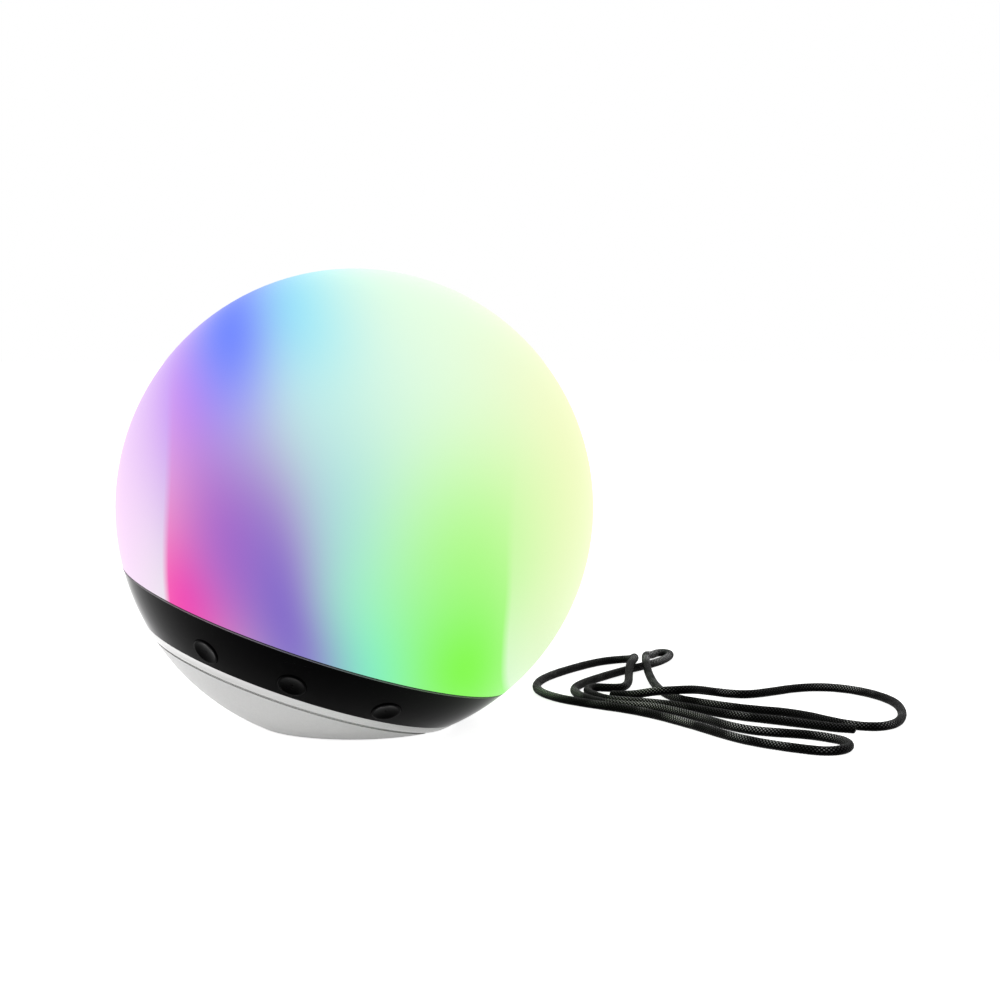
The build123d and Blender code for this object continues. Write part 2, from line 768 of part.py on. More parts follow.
# chips and coils above the board; plugs above and below: x, y, length, width, height
upper_parts = ((-30.0, 8.0, 10.0, 10.0, 1.4), (-30.0, -8.0, 7.0, 7.0, 3.6),
               (-2.0, 14.0, 8.0, 6.0, 1.6), (-2.0, -13.0, 8.0, 5.0, 1.2))
led_lead_plug = (-14.0, 0.0, 6.0, 6.0, 3.2)
battery_plug = (-34.0, -10.0, 6.0, 8.0, 3.2)
switch_plug = (-11.0, -21.5, 18.0, 5.0, 3.2)
charge_plug = (-8.0, 21.5, 8.0, 5.0, 3.2)
capacitor_spots = ((-18.0, 15.0), (-18.0, -13.0))
capacitor_radius = 2.5
capacitor_height = 4.4
with BuildPart() as control_components:
    for x, y, length, width, height in upper_parts + (led_lead_plug,):
        with BuildSketch(level(control_top)):
            with Locations((x, y)):
                Rectangle(length, width)
        extrude(amount=height)
    for x, y, length, width, height in (battery_plug, switch_plug, charge_plug):
        with BuildSketch(level(control_under)):
            with Locations((x, y)):
                Rectangle(length, width)
        extrude(amount=-height)
    with BuildSketch(level(control_top)):
        with Locations(*capacitor_spots):
            Circle(capacitor_radius)
    extrude(amount=capacitor_height)
save(control_components.part, "control_components")

with BuildPart() as led_plug:
    with BuildSketch(level(led_face)):
        with Locations((led_plug_x, 0)):
            Rectangle(led_plug_length, led_plug_width)
    extrude(amount=led_plug_height)
save(led_plug.part, "led_plug")

with BuildPart() as base_pillars:
    with BuildSketch(level(band_top)):
        with Locations(*pillar_spots):
            Circle(pillar_radius)
    extrude(amount=pillar_end - band_top)
    with BuildSketch(level(band_top)):
        with Locations(*pillar_spots):
            Circle(pillar_spigot)
    extrude(amount=carrier_thickness - thread_gap)
    with BuildSketch(level(pillar_end)):
        with Locations(*pillar_spots):
            Circle(screw_shank + thread_gap)
    extrude(amount=pillar_thread_depth, mode=Mode.SUBTRACT)
save(base_pillars.part, "base_pillars")


# ---------------------------------------------------------------- base
inner_bowl = globe_radius - bowl_wall
neck_inner = neck_radius - neck_wall
neck_foot = -sqrt(inner_bowl ** 2 - neck_inner ** 2)
tray_spots = [(cell_mid_x, -tray_screw_spacing / 2), (cell_mid_x, tray_screw_spacing / 2)]

with BuildPart() as bowl_room:
    with BuildSketch(section):
        with BuildLine():
            Line((0, neck_top), (neck_inner, neck_top))
            Line((neck_inner, neck_top), (neck_inner, neck_foot))
            CenterArc((0, 0), inner_bowl, slope_at(neck_foot, inner_bowl),
                      -90 - slope_at(neck_foot, inner_bowl))
            Line((0, -inner_bowl), (0, neck_top))
        make_face()
    revolve(axis=lamp_axis)
    split(bisect_by=Plane.XY.offset(flat_level + floor_thickness), keep=Keep.TOP)

with BuildPart() as posts:
    with BuildSketch(level(-globe_radius)):
        with Locations(*pillar_spots):
            Circle(post_radius)
    extrude(amount=pillar_end - post_gap + globe_radius)
    with BuildSketch(level(-globe_radius)):
        with Locations(*tray_spots):
            Circle(tray_post_radius)
    extrude(amount=tray_under + globe_radius)

with BuildPart() as base_bowl:
    with BuildSketch(section):
        with BuildLine():
            CenterArc((0, 0), globe_radius, -90, 90 + slope_at(bowl_shoulder))
            Polyline((ring_at(bowl_shoulder), bowl_shoulder), (neck_radius, bowl_shoulder),
                     (neck_radius, neck_top), (0, neck_top), (0, -globe_radius))
        make_face()
    revolve(axis=lamp_axis)
    add(bowl_room.part, mode=Mode.SUBTRACT)
    add(bowl_room.part.intersect(posts.part))
    # through holes and deep counterbores for the long screws, pilot holes for the tray's
    with BuildSketch(level(bowl_screw_seat)):
        with Locations(*pillar_spots):
            Circle(screw_hole)
    extrude(amount=pillar_end - bowl_screw_seat, mode=Mode.SUBTRACT)
    with BuildSketch(level(bowl_screw_seat)):
        with Locations(*pillar_spots):
            Circle(counterbore_radius)
    extrude(amount=-globe_radius / 2, mode=Mode.SUBTRACT)
    with BuildSketch(level(tray_under)):
        with Locations(*tray_spots):
            Circle(small_shank + thread_gap)
    extrude(amount=-tray_screw_length, mode=Mode.SUBTRACT)
    add(ground_cut.part, mode=Mode.SUBTRACT)
    with BuildSketch(Plane.XY.offset(flat_level)):
        Circle(pad_radius + pad_gap)
    extrude(amount=pad_thickness - pad_proud, mode=Mode.SUBTRACT)
save(base_bowl.part, "base_bowl")
save(screws(turned_over(level(bowl_screw_seat)),
            [(x, -y) for x, y in pillar_spots], bowl_screw_length), "bowl_screws")

trim_angle = (slope_at(trim_top) + slope_at(trim_bottom)) / 2
trim_edge = globe_radius - trim_edge_drop
trim_mid = globe_radius + trim_bulge
with BuildPart() as trim_ring:
    with BuildSketch(section):
        with BuildLine():
            ThreePointArc((ring_at(trim_bottom, trim_edge), trim_bottom),
                          (trim_mid * cos(radians(trim_angle)), trim_mid * sin(radians(trim_angle))),
                          (ring_at(trim_top, trim_edge), trim_top))
            Polyline((ring_at(trim_top, trim_edge), trim_top), (neck_radius + trim_gap, trim_top),
                     (neck_radius + trim_gap, trim_bottom), (ring_at(trim_bottom, trim_edge), trim_bottom))
        make_face()
    revolve(axis=lamp_axis)
    add(ground_cut.part, mode=Mode.SUBTRACT)
save(trim_ring.part, "trim_ring")

with BuildPart() as bowl_gasket:
    with BuildSketch(level(trim_top)):
        Circle(bowl_gasket_inner + bowl_gasket_width)
        Circle(bowl_gasket_inner, mode=Mode.SUBTRACT)
    extrude(amount=band_bottom + bowl_gasket_sunk - trim_top)
save(bowl_gasket.part, "bowl_gasket")

with BuildPart() as foot_pad:
    with BuildSketch(Plane.XY):
        Circle(pad_radius)
    extrude(amount=pad_thickness)
    chamfer(edges().group_by(Axis.Z)[0], pad_chamfer)
save(foot_pad.part, "foot_pad")


# ---------------------------------------------------------------- battery
cell_xs = (cell_mid_x - cell_pitch / 2, cell_mid_x + cell_pitch / 2)


def cell_plane(y):
    # plane across the cells, x along the lamp's x and y up the lamp axis
    return Plane(origin=lamp_point(0, y, cell_height), x_dir=lamp_x, z_dir=-lamp_y)


with BuildPart() as battery_cells:
    with BuildSketch(cell_plane(cell_end)):
        with Locations(*[(x, 0) for x in cell_xs]):
            Circle(cell_radius)
    extrude(amount=cell_length)
    with BuildSketch(cell_plane(cell_end + cell_nub_height)):
        with Locations((cell_xs[0], 0)):
            Circle(cell_nub_radius)
    extrude(amount=cell_nub_height)
    with BuildSketch(cell_plane(-cell_end)):
        with Locations((cell_xs[1], 0)):
            Circle(cell_nub_radius)
    extrude(amount=cell_nub_height)
save(battery_cells.part, "battery_cells")

with BuildPart() as battery_tray:
    with BuildSketch(level(tray_under)):
        with Locations((cell_mid_x, 0)):
            Rectangle(2 * tray_half, 2 * (tray_end + tray_wall))
        with Locations(*tray_spots):
            Circle(small_shank + thread_gap, mode=Mode.SUBTRACT)
    extrude(amount=tray_base)
    with BuildSketch(level(tray_under)):
        with Locations((cell_mid_x, tray_end + tray_wall / 2), (cell_mid_x, -tray_end - tray_wall / 2)):
            Rectangle(2 * tray_half, tray_wall)
    extrude(amount=tray_end_height)
save(battery_tray.part, "battery_tray")
save(small_screws(level(tray_under + tray_base), tray_spots, tray_screw_length), "tray_screws")

with BuildPart() as battery_contacts:
    for x, side in ((cell_xs[0], 1), (cell_xs[1], -1)):
        for facing, sprung in ((side, False), (-side, True)):
            wall = Plane(origin=lamp_point(x, facing * tray_end, cell_height), x_dir=lamp_x,
                         z_dir=lamp_y * -facing)
            with BuildSketch(wall):
                Rectangle(contact_size, contact_size)
            extrude(amount=contact_thickness)
            if sprung:
                with BuildSketch(wall.offset(contact_thickness)):
                    Circle(contact_spring_base)
                with BuildSketch(wall.offset(tray_end - cell_end)):
                    Circle(contact_spring_tip)
                loft()
save(battery_contacts.part, "battery_contacts")

clamp_half = tray_half + clamp_thickness
clamp_top = cell_radius + cell_play + clamp_thickness
with BuildPart() as battery_clamp:
    with BuildSketch(cell_plane(clamp_width / 2)):
        with Locations((cell_mid_x, (clamp_top - clamp_leg / 2) / 2)):
            Rectangle(2 * clamp_half, clamp_top + clamp_leg / 2)
        with Locations((cell_mid_x, (clamp_top - clamp_leg / 2) / 2 - clamp_thickness)):
            Rectangle(2 * tray_half, clamp_top + clamp_leg / 2, mode=Mode.SUBTRACT)
    extrude(amount=clamp_width)
save(battery_clamp.part, "battery_clamp")


# ---------------------------------------------------------------- inside leads
def board_exit(azimuth, latitude, board_back, slope_shift, run):
    # where a lead leaves the back of a tilted board, and the end of its first straight run
    start = radial_plane(azimuth, latitude, board_back)
    here = start.origin + start.y_dir * slope_shift
    return [here, here - start.z_dir * run]


led_lead_height = control_top + led_lead_plug[4] / 2
led_plug_mid = led_face + led_plug_height / 2
led_plug_side = led_plug_x - led_plug_length / 2
led_drop_x = 0.5
led_lead_end = led_lead_plug[0] + led_lead_plug[2] / 2
led_route = [lamp_point(led_plug_side, 0, led_plug_mid), lamp_point(led_drop_x, 0, led_plug_mid),
             lamp_point(led_drop_x, 0, led_lead_height), lamp_point(led_lead_end, 0, led_lead_height)]
save(cord(led_route, lead_radius), "led_lead")

# two leads from the contacts, round the tray's end and up to the control board
battery_plug_height = control_under - battery_plug[4] / 2
battery_plug_end = battery_plug[1] - battery_plug[3] / 2
contact_lead_height = cell_height + contact_size / 2 - lead_radius - contact_thickness / 2
lead_pitch = 2.8
first_x = battery_plug[0] + lead_pitch / 2
second_x = battery_plug[0] - lead_pitch / 2
battery_routes = (
    [lamp_point(cell_xs[0], -tray_end, contact_lead_height),
     lamp_point(cell_xs[0], -42.4, contact_lead_height),
     lamp_point(-27.5, -45.5, cell_height + 8.2),
     lamp_point(first_x, -36.0, battery_plug_height),
     lamp_point(first_x, battery_plug_end, battery_plug_height)],
    [lamp_point(cell_xs[1], -tray_end, contact_lead_height),
     lamp_point(cell_xs[1], -43.0, contact_lead_height),
     lamp_point(-8.0, -49.0, cell_height + 6.7),
     lamp_point(-24.0, -50.0, cell_height + 10.7), lamp_point(second_x, -42.0, battery_plug_height),
     lamp_point(second_x, battery_plug_end, battery_plug_height)],
)
with BuildPart() as battery_lead:
    for route_points in battery_routes:
        add(cord(route_points, lead_radius))
save(battery_lead.part, "battery_lead")

# one lead from each switch board to the plug they share
switch_plug_height = control_under - switch_plug[4] / 2
switch_plug_end = switch_plug[1] - switch_plug[3] / 2
switch_plug_xs = (-17.5, -11.0, -4.5)
switch_route_mids = (
    [(-26.0, -44.0, control_under + 3.2), (switch_plug_xs[0], -35.5, switch_plug_height)],
    [(-3.0, -51.0, control_under + 2.9), (switch_plug_xs[1], -39.0, switch_plug_height)],
    [(20.0, -44.0, control_under + 2.8), (6.0, -38.5, control_under - 0.4),
     (switch_plug_xs[2], -34.0, switch_plug_height)],
)
exit_run = 6.5
with BuildPart() as switch_leads:
    for (azimuth, latitude), x, mids in zip(button_spots, switch_plug_xs, switch_route_mids):
        start = board_exit(azimuth, latitude, switch_board_back, 0, exit_run)
        middle = [lamp_point(*point) for point in mids]
        end = [lamp_point(x, switch_plug_end, switch_plug_height)]
        add(cord(start + middle + end, lead_radius))
save(switch_leads.part, "switch_leads")

charge_plug_height = control_under - charge_plug[4] / 2
charge_plug_end = charge_plug[1] + charge_plug[3] / 2
charge_board_back = port_block_end + switch_board_thickness
charge_route = board_exit(port_azimuth, port_latitude, charge_board_back, port_mid, exit_run)
charge_route += [lamp_point(-4.0, 47.5, control_under + 2.2), lamp_point(charge_plug[0], 37.0, charge_plug_height),
                 lamp_point(charge_plug[0], charge_plug_end, charge_plug_height)]
save(cord(charge_route, lead_radius), "charge_lead")


# ---------------------------------------------------------------- hanging rope
# It lies on the ground beside the lamp, folded to and fro. Where it crosses itself the
# upper strand goes over the lower one with a little room.
over = 2 * rope_radius + 0.5
rope_route = (
    # cut end, over the strand beside it, out along the back and round the right loop
    (110.5, 57, 0), (115.5, 53.5, 0.4), (121.5, 49, 1.6), (129, 45, 3.6), (137.3, 43, over),
    (145.5, 45, over), (151, 52.5, 2.9), (157, 58.5, 1.1), (164, 60, 0), (172, 57.5, 0),
    (182.2, 63.6, 0), (196.4, 75.2, 0), (209.6, 77.9, 0), (221.4, 70.7, 0), (230.7, 55.8, 0),
    (235.8, 36.1, 0), (234, 10.8, 0), (228.4, -9.9, 0), (220.6, -18.8, 0), (213, -19.1, 0),
    # back to the left and under the first strand
    (205.9, -14, 0), (199.2, -5.4, 0), (192.3, 5.4, 0), (183.2, 14.3, 0), (173.3, 18.6, 0),
    (164.4, 24.3, 0), (155.5, 31.2, 0), (147.8, 38.3, 0), (140, 46.3, 0), (135.2, 59.5, 0),
    (132.7, 78, 0), (131.5, 96, 0.4),
    # over its own return, round the far fold and down the left
    (130.6, 110.5, 2.4), (130.8, 126, over), (131.8, 142, over), (133.6, 154, 2.8),
    (135.5, 163.5, 1.2), (137.3, 171.5, 0.2), (139.8, 178.5, 0), (144, 179.5, 0),
    (146.5, 174.5, 0), (144.8, 165, 0), (141, 154.5, 0), (136, 145.3, 0), (126.5, 132, 0),
    (117.4, 119.5, 0), (108.3, 104.6, 0), (99.5, 89, 0),
    # out to the right again and round the front loop
    (94, 73, 0), (95.5, 57.5, 0), (100.5, 45.5, 0), (106, 37, 0), (113, 31.5, 0),
    (120.5, 28.8, 0), (127.5, 25.8, 0), (133.5, 19.5, 0), (140, 10, 0), (147.1, -0.6, 0),
    (153.4, -13.2, 0), (160.9, -23.7, 0), (168.5, -29.5, 0), (177.1, -33, 0), (185.7, -35.9, 0),
    (193.5, -42, 0), (199.3, -49, 0), (200.5, -58.5, 0), (197, -67, 0),
    # the front strand, the outer left loop and its far corner
    (190, -70.5, 0), (184, -68.3, 0), (177.6, -63.9, 0), (170.3, -58.3, 0), (163.5, -51.8, 0),
    (156.7, -43.5, 0), (150.2, -32.1, 0), (143.2, -18.6, 0), (135.5, -5.2, 0), (127.5, 7.5, 0),
    (119.5, 17.6, 0), (111.3, 25.3, 0), (102.9, 32.1, 0), (94, 40.1, 0), (85.7, 49.6, 0),
    (78.8, 64.1, 0), (77, 80, 0), (79.7, 96.5, 0), (85.9, 112.4, 0), (94.5, 128.1, 0),
    (103.6, 142.4, 0), (111, 151.5, 0), (119, 157, 0), (125.3, 151, 1.2),
    # over the strand inside it, down to a tight turn and a small arch
    (126.5, 141, 4), (125.5, 129.5, over), (122.5, 115.5, over), (121.3, 102, 2.2),
    (120.6, 91, 0.2), (119, 82, 0), (116.5, 75.5, 0), (110, 75.3, 0), (104, 77.3, 0),
    # the last strand, between the others, to the second cut end
    (100.2, 71.5, 0), (101.2, 60, 0), (106.8, 47.5, 0), (114.2, 41.5, 0), (121.9, 39.2, 0),
    (130, 35.7, 0), (137.5, 30, 0), (145, 23, 0), (152.2, 14.8, 0), (160, 7.3, 0),
    (167.9, 1.2, 0), (176.7, -4.2, 0), (185, -10.6, 0), (193.6, -16.3, 0), (200.9, -22.1, 0),
    (208, -24.3, 0),
)
rope_points = [Vector(x, y, z + rope_radius) for x, y, z in rope_route]
rope = cord(rope_points, rope_radius)
save(rope, "rope")

with BuildLine() as rope_line:
    FilletPolyline(*rope_points, radius=bend_radii(rope_points))
rope_length = sum(edge.length for edge in rope_line.edges())
print("rope length", round(rope_length, 1), "volume ratio",
      round(rope.volume / (rope_length * pi * rope_radius ** 2), 4))
print("rope bend radii", [round(r, 1) for r in bend_radii(rope_points)])
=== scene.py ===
import bpy
import numpy as np
from math import radians, pi
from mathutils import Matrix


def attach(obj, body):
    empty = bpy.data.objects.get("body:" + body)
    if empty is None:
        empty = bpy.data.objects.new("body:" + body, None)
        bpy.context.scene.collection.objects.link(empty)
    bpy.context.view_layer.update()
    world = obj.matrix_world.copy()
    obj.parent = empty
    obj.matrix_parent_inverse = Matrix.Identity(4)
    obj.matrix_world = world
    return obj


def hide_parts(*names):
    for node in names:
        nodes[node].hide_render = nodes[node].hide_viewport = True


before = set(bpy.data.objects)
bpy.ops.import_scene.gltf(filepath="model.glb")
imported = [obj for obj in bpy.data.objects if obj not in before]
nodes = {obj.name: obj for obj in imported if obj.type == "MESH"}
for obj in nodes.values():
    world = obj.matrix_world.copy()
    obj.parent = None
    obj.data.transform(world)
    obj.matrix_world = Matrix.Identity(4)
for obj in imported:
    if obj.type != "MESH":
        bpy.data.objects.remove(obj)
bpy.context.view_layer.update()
print("solids loaded:", len(nodes))

# ---- camera, at the photograph's angle
camera = {"place": (0.0607, -0.93218, 0.17657), "down": 5.0, "lens": 80.0, "sensor": 36.0,
          "near": 0.01}

cameraData = bpy.data.cameras.new("camera")
cameraData.lens = camera["lens"]
cameraData.sensor_width = camera["sensor"]
cameraData.clip_start = camera["near"]
cameraObject = bpy.data.objects.new("camera", cameraData)
cameraObject.location = camera["place"]
cameraObject.rotation_euler = (radians(90 - camera["down"]), 0, 0)
bpy.context.scene.collection.objects.link(cameraObject)
bpy.context.scene.camera = cameraObject
print("camera placed")


# ---- small helpers for materials
noiseSpread = (0.3, 0.7)


def linear(colour):
    # screen colour to the shader's linear colour
    values = [((c + 0.055) / 1.055) ** 2.4 if c > 0.04045 else c / 12.92 for c in colour]
    return (*values, 1.0)


def startMaterial(name):
    material = bpy.data.materials.new(name)
    material.use_nodes = True
    tree = material.node_tree
    shader = tree.nodes["Principled BSDF"]
    return material, tree, shader


def node(tree, kind, settings=None, **values):
    # settings are the node's own properties, values are its sockets by name or number
    made = tree.nodes.new(kind)
    for key, value in (settings or {}).items():
        setattr(made, key, value)
    for key, value in values.items():
        numbered = key[0] == "s" and key[1:].isdigit()
        socket = made.inputs[int(key[1:]) if numbered else key]
        if isinstance(value, bpy.types.NodeSocket):
            tree.links.new(value, socket)
        else:
            socket.default_value = value
    return made


def sums(tree, operation, first, second=0.0, third=0.0):
    made = node(tree, "ShaderNodeMath", {"operation": operation}, s0=first, s1=second, s2=third)
    return made.outputs[0]


def fit(tree, value, low, high, toLow=0.0, toHigh=1.0, smooth=False):
    # value between low and high becomes a number between toLow and toHigh
    kind = "SMOOTHSTEP" if smooth else "LINEAR"
    made = node(tree, "ShaderNodeMapRange", {"interpolation_type": kind}, s0=value, s1=low,
                s2=high, s3=toLow, s4=toHigh)
    return made.outputs[0]


def blendColours(tree, amount, first, second, mode="MIX"):
    made = node(tree, "ShaderNodeMix", {"data_type": "RGBA", "blend_type": mode}, s0=amount)
    for index, value in ((6, first), (7, second)):
        if isinstance(value, bpy.types.NodeSocket):
            tree.links.new(value, made.inputs[index])
        else:
            made.inputs[index].default_value = value
    return made.outputs[2]


def blendNumbers(tree, amount, first, second):
    made = node(tree, "ShaderNodeMix", {"data_type": "FLOAT"}, s0=amount, s2=first, s3=second)
    return made.outputs[0]


def objectPlace(tree):
    return node(tree, "ShaderNodeTexCoord").outputs["Object"]


def noise(tree, place, scale, detail=3.0, rough=0.5, stretch=None):
    if stretch:
        place = node(tree, "ShaderNodeMapping", s0=place, s3=stretch).outputs[0]
    made = node(tree, "ShaderNodeTexNoise", s0=place, Scale=scale, Detail=detail, Roughness=rough)
    return made.outputs[0]


def vary(tree, grain, low=0.0, high=1.0):
    # a number between low and high that follows a noise, whose values mostly lie in its spread
    return fit(tree, grain, *noiseSpread, low, high)


def addBump(tree, shader, height, strength, depth):
    bump = node(tree, "ShaderNodeBump", Strength=strength, Distance=depth, Height=height)
    tree.links.new(bump.outputs[0], shader.inputs["Normal"])


def dress(nodeNames, material):
    for name in nodeNames:
        mesh = nodes[name].data
        mesh.materials.clear()
        mesh.materials.append(material)


# ---- rope: one length of black round braid, folded to and fro beside the lamp
rope = {"radius": 0.002, "length": 1.32, "step": 0.0005, "sides": 32, "endRound": 0.0011,
        "endShare": 0.35, "strandsEachWay": 8, "lay": 0.0125, "uneven": 0.00005,
        "waves": (431, 173), "arch": 0.9, "dip": 0.7, "relief": 0.00018, "pathStep": 4,
        "order": 3, "fineness": 16, "index": 1.07, "facing": 0.3}
ropeRoute = [
    (110.5, 57, 2), (115.5, 53.5, 2.4), (121.5, 49, 3.6), (129, 45, 5.6), (137.3, 43, 6.5),
    (145.5, 45, 6.5), (151, 52.5, 4.9), (157, 58.5, 3.1), (164, 60, 2), (172, 57.5, 2),
    (182.2, 63.6, 2), (196.4, 75.2, 2), (209.6, 77.9, 2), (221.4, 70.7, 2), (230.7, 55.8, 2),
    (235.8, 36.1, 2), (234, 10.8, 2), (228.4, -9.9, 2), (220.6, -18.8, 2), (213, -19.1, 2),
    (205.9, -14, 2), (199.2, -5.4, 2), (192.3, 5.4, 2), (183.2, 14.3, 2), (173.3, 18.6, 2),
    (164.4, 24.3, 2), (155.5, 31.2, 2), (147.8, 38.3, 2), (140, 46.3, 2), (135.2, 59.5, 2),
    (132.7, 78, 2), (131.5, 96, 2.4), (130.6, 110.5, 4.4), (130.8, 126, 6.5), (131.8, 142, 6.5),
    (133.6, 154, 4.8), (135.5, 163.5, 3.2), (137.3, 171.5, 2.2), (139.8, 178.5, 2),
    (144, 179.5, 2), (146.5, 174.5, 2), (144.8, 165, 2), (141, 154.5, 2), (136, 145.3, 2),
    (126.5, 132, 2), (117.4, 119.5, 2), (108.3, 104.6, 2), (99.5, 89, 2), (94, 73, 2),
    (95.5, 57.5, 2), (100.5, 45.5, 2), (106, 37, 2), (113, 31.5, 2), (120.5, 28.8, 2),
    (127.5, 25.8, 2), (133.5, 19.5, 2), (140, 10, 2), (147.1, -0.6, 2), (153.4, -13.2, 2),
    (160.9, -23.7, 2),
    (168.5, -29.5, 2), (177.1, -33, 2), (185.7, -35.9, 2), (193.5, -42, 2), (199.3, -49, 2),
    (200.5, -58.5, 2), (197, -67, 2), (190, -70.5, 2), (184, -68.3, 2), (177.6, -63.9, 2),
    (170.3, -58.3, 2), (163.5, -51.8, 2), (156.7, -43.5, 2), (150.2, -32.1, 2), (143.2, -18.6, 2),
    (135.5, -5.2, 2), (127.5, 7.5, 2), (119.5, 17.6, 2), (111.3, 25.3, 2), (102.9, 32.1, 2),
    (94, 40.1, 2), (85.7, 49.6, 2), (78.8, 64.1, 2), (77, 80, 2), (79.7, 96.5, 2),
    (85.9, 112.4, 2), (94.5, 128.1, 2), (103.6, 142.4, 2), (111, 151.5, 2), (119, 157, 2),
    (125.3, 151, 3.2), (126.5, 141, 6), (125.5, 129.5, 6.5), (122.5, 115.5, 6.5),
    (121.3, 102, 4.2), (120.6, 91, 2.2), (119, 82, 2), (116.5, 75.5, 2), (110, 75.3, 2),
    (104, 77.3, 2), (100.2, 71.5, 2), (101.2, 60, 2), (106.8, 47.5, 2), (114.2, 41.5, 2),
    (121.9, 39.2, 2), (130, 35.7, 2), (137.5, 30, 2), (145, 23, 2), (152.2, 14.8, 2),
    (160, 7.3, 2), (167.9, 1.2, 2), (176.7, -4.2, 2), (185, -10.6, 2), (193.6, -16.3, 2),
    (200.9, -22.1, 2), (208, -24.3, 2)]


def smoothLine(route):
    # points along the NURBS line that has the route's points as its control points
    curve = bpy.data.curves.new("ropeLine", "CURVE")
    curve.dimensions = "3D"
    spline = curve.splines.new("NURBS")
    spline.points.add(len(route) - 1)
    control = np.ones((len(route), 4))
    control[:, :3] = np.array(route) / 1000
    spline.points.foreach_set("co", control.ravel())
    spline.order_u = rope["order"]
    spline.use_endpoint_u = True
    spline.resolution_u = rope["fineness"]
    holder = bpy.data.objects.new("ropeLine", curve)
    line = bpy.data.meshes.new_from_object(holder)
    points = np.empty(len(line.vertices) * 3)
    line.vertices.foreach_get("co", points)
    bpy.data.objects.remove(holder)
    bpy.data.meshes.remove(line)
    return points.reshape(-1, 3)


def braidHeight(turns, around):
    # of two crossing strand families the one on top is raised, round across and sinking at its
    # ends: height = cos(arch pi across) * cos(dip pi lengthways)
    first = rope["strandsEachWay"] * (around + turns)
    second = rope["strandsEachWay"] * (around - turns)
    onTop = np.mod(np.floor(first) + np.floor(second), 2) > 0.5
    firstAcross, secondAcross = np.mod(first, 1) - 0.5, np.mod(second, 1) - 0.5
    across = np.where(onTop, secondAcross, firstAcross)
    lengthways = np.where(onTop, firstAcross, secondAcross)
    return np.cos(rope["arch"] * pi * across) * np.cos(rope["dip"] * pi * lengthways)


def ropeMesh():
    # place(s, a) = line(s) + r(s, a) * (cos a * side(s) + sin a * lift(s)), r rounded off at both
    # ends and cut in between the strands
    line = smoothLine(ropeRoute)
    along = np.r_[0, np.cumsum(np.linalg.norm(np.diff(line, axis=0), axis=1))]
    total = along[-1]
    s = np.linspace(0, total, int(total / rope["step"]) + 1)
    ends = np.linspace(0, 1, 6)[1:-1] ** 2 * rope["endRound"]
    s = np.unique(np.r_[s, ends, total - ends])
    line = np.stack([np.interp(s, along, line[:, k]) for k in range(3)], axis=1)
    forward = np.gradient(line, s, axis=0)
    forward /= np.linalg.norm(forward, axis=1, keepdims=True)
    side = np.cross(forward, (0, 0, 1))
    side /= np.linalg.norm(side, axis=1, keepdims=True)
    lift = np.cross(side, forward)
    toEnd = np.clip(np.minimum(s, total - s) / rope["endRound"], 0, 1)
    small = rope["endShare"]
    r = rope["radius"] * (small + (1 - small) * np.sqrt(1 - (1 - toEnd) ** 2))
    short, long = rope["waves"]
    r = r - rope["uneven"] * (0.5 + 0.5 * np.sin(s * short) * np.sin(s * long + 1))
    a = np.linspace(0, 2 * pi, rope["sides"], endpoint=False)
    ring = np.cos(a)[None, :, None] * side[:, None] + np.sin(a)[None, :, None] * lift[:, None]
    cut = 1 - braidHeight(s[:, None] / rope["lay"], a[None, :] / (2 * pi))
    r = r[:, None] - rope["relief"] * cut
    points = (line[:, None] + r[:, :, None] * ring).reshape(-1, 3)
    sides, rings = rope["sides"], len(s)
    i, j = np.meshgrid(np.arange(rings - 1), np.arange(sides), indexing="ij")
    jNext = (j + 1) % sides
    quads = np.stack([i * sides + j, (i + 1) * sides + j, (i + 1) * sides + jNext,
                      i * sides + jNext], axis=-1).reshape(-1, 4)
    caps = [list(range(sides)), list(range((rings - 1) * sides, rings * sides))[::-1]]
    mesh = bpy.data.meshes.new("ropeBraid")
    mesh.from_pydata(points.tolist(), [], quads.tolist() + caps)
    # u counts turns of the braid along the rope, v goes once round it
    u = np.stack([s[i], s[i + 1], s[i + 1], s[i]], axis=-1) / rope["lay"]
    v = np.stack([j, j, j + 1, j + 1], axis=-1) / sides
    uv = np.stack([u, v], axis=-1).reshape(-1, 2)
    capUv = np.zeros((2 * sides, 2))
    capUv[sides:, 0] = total / rope["lay"]
    layer = mesh.uv_layers.new(name="braid")
    layer.data.foreach_set("uv", np.r_[uv, capUv].ravel())
    mesh.polygons.foreach_set("use_smooth", np.ones(len(mesh.polygons), bool))
    mesh.update()
    return mesh, line


# the pale colour on the strand crowns of the side facing up is a painted highlight
ropeLook = {"arch": 0.95, "dip": 0.8, "yarns": 4, "yarnHeight": 0.05, "fuzz": 900.0,
            "fuzzHeight": 0.25, "bump": 0.9, "depth": 0.00035, "shine": (0.28, 0.5),
            "valleyShade": (0.0, 0.0, 0.0), "ridge": (0.012, 0.012, 0.012), "shades": (0.2, 1.1),
            "paintedHighlight": (0.85, 0.85, 0.855), "crownHighlight": (0.72, 1.05), "upper": (-0.2, 0.9),
            "stretches": 26.0, "highlightStretch": (0.48, 0.6), "highlightShare": (0.08, 1.0)}


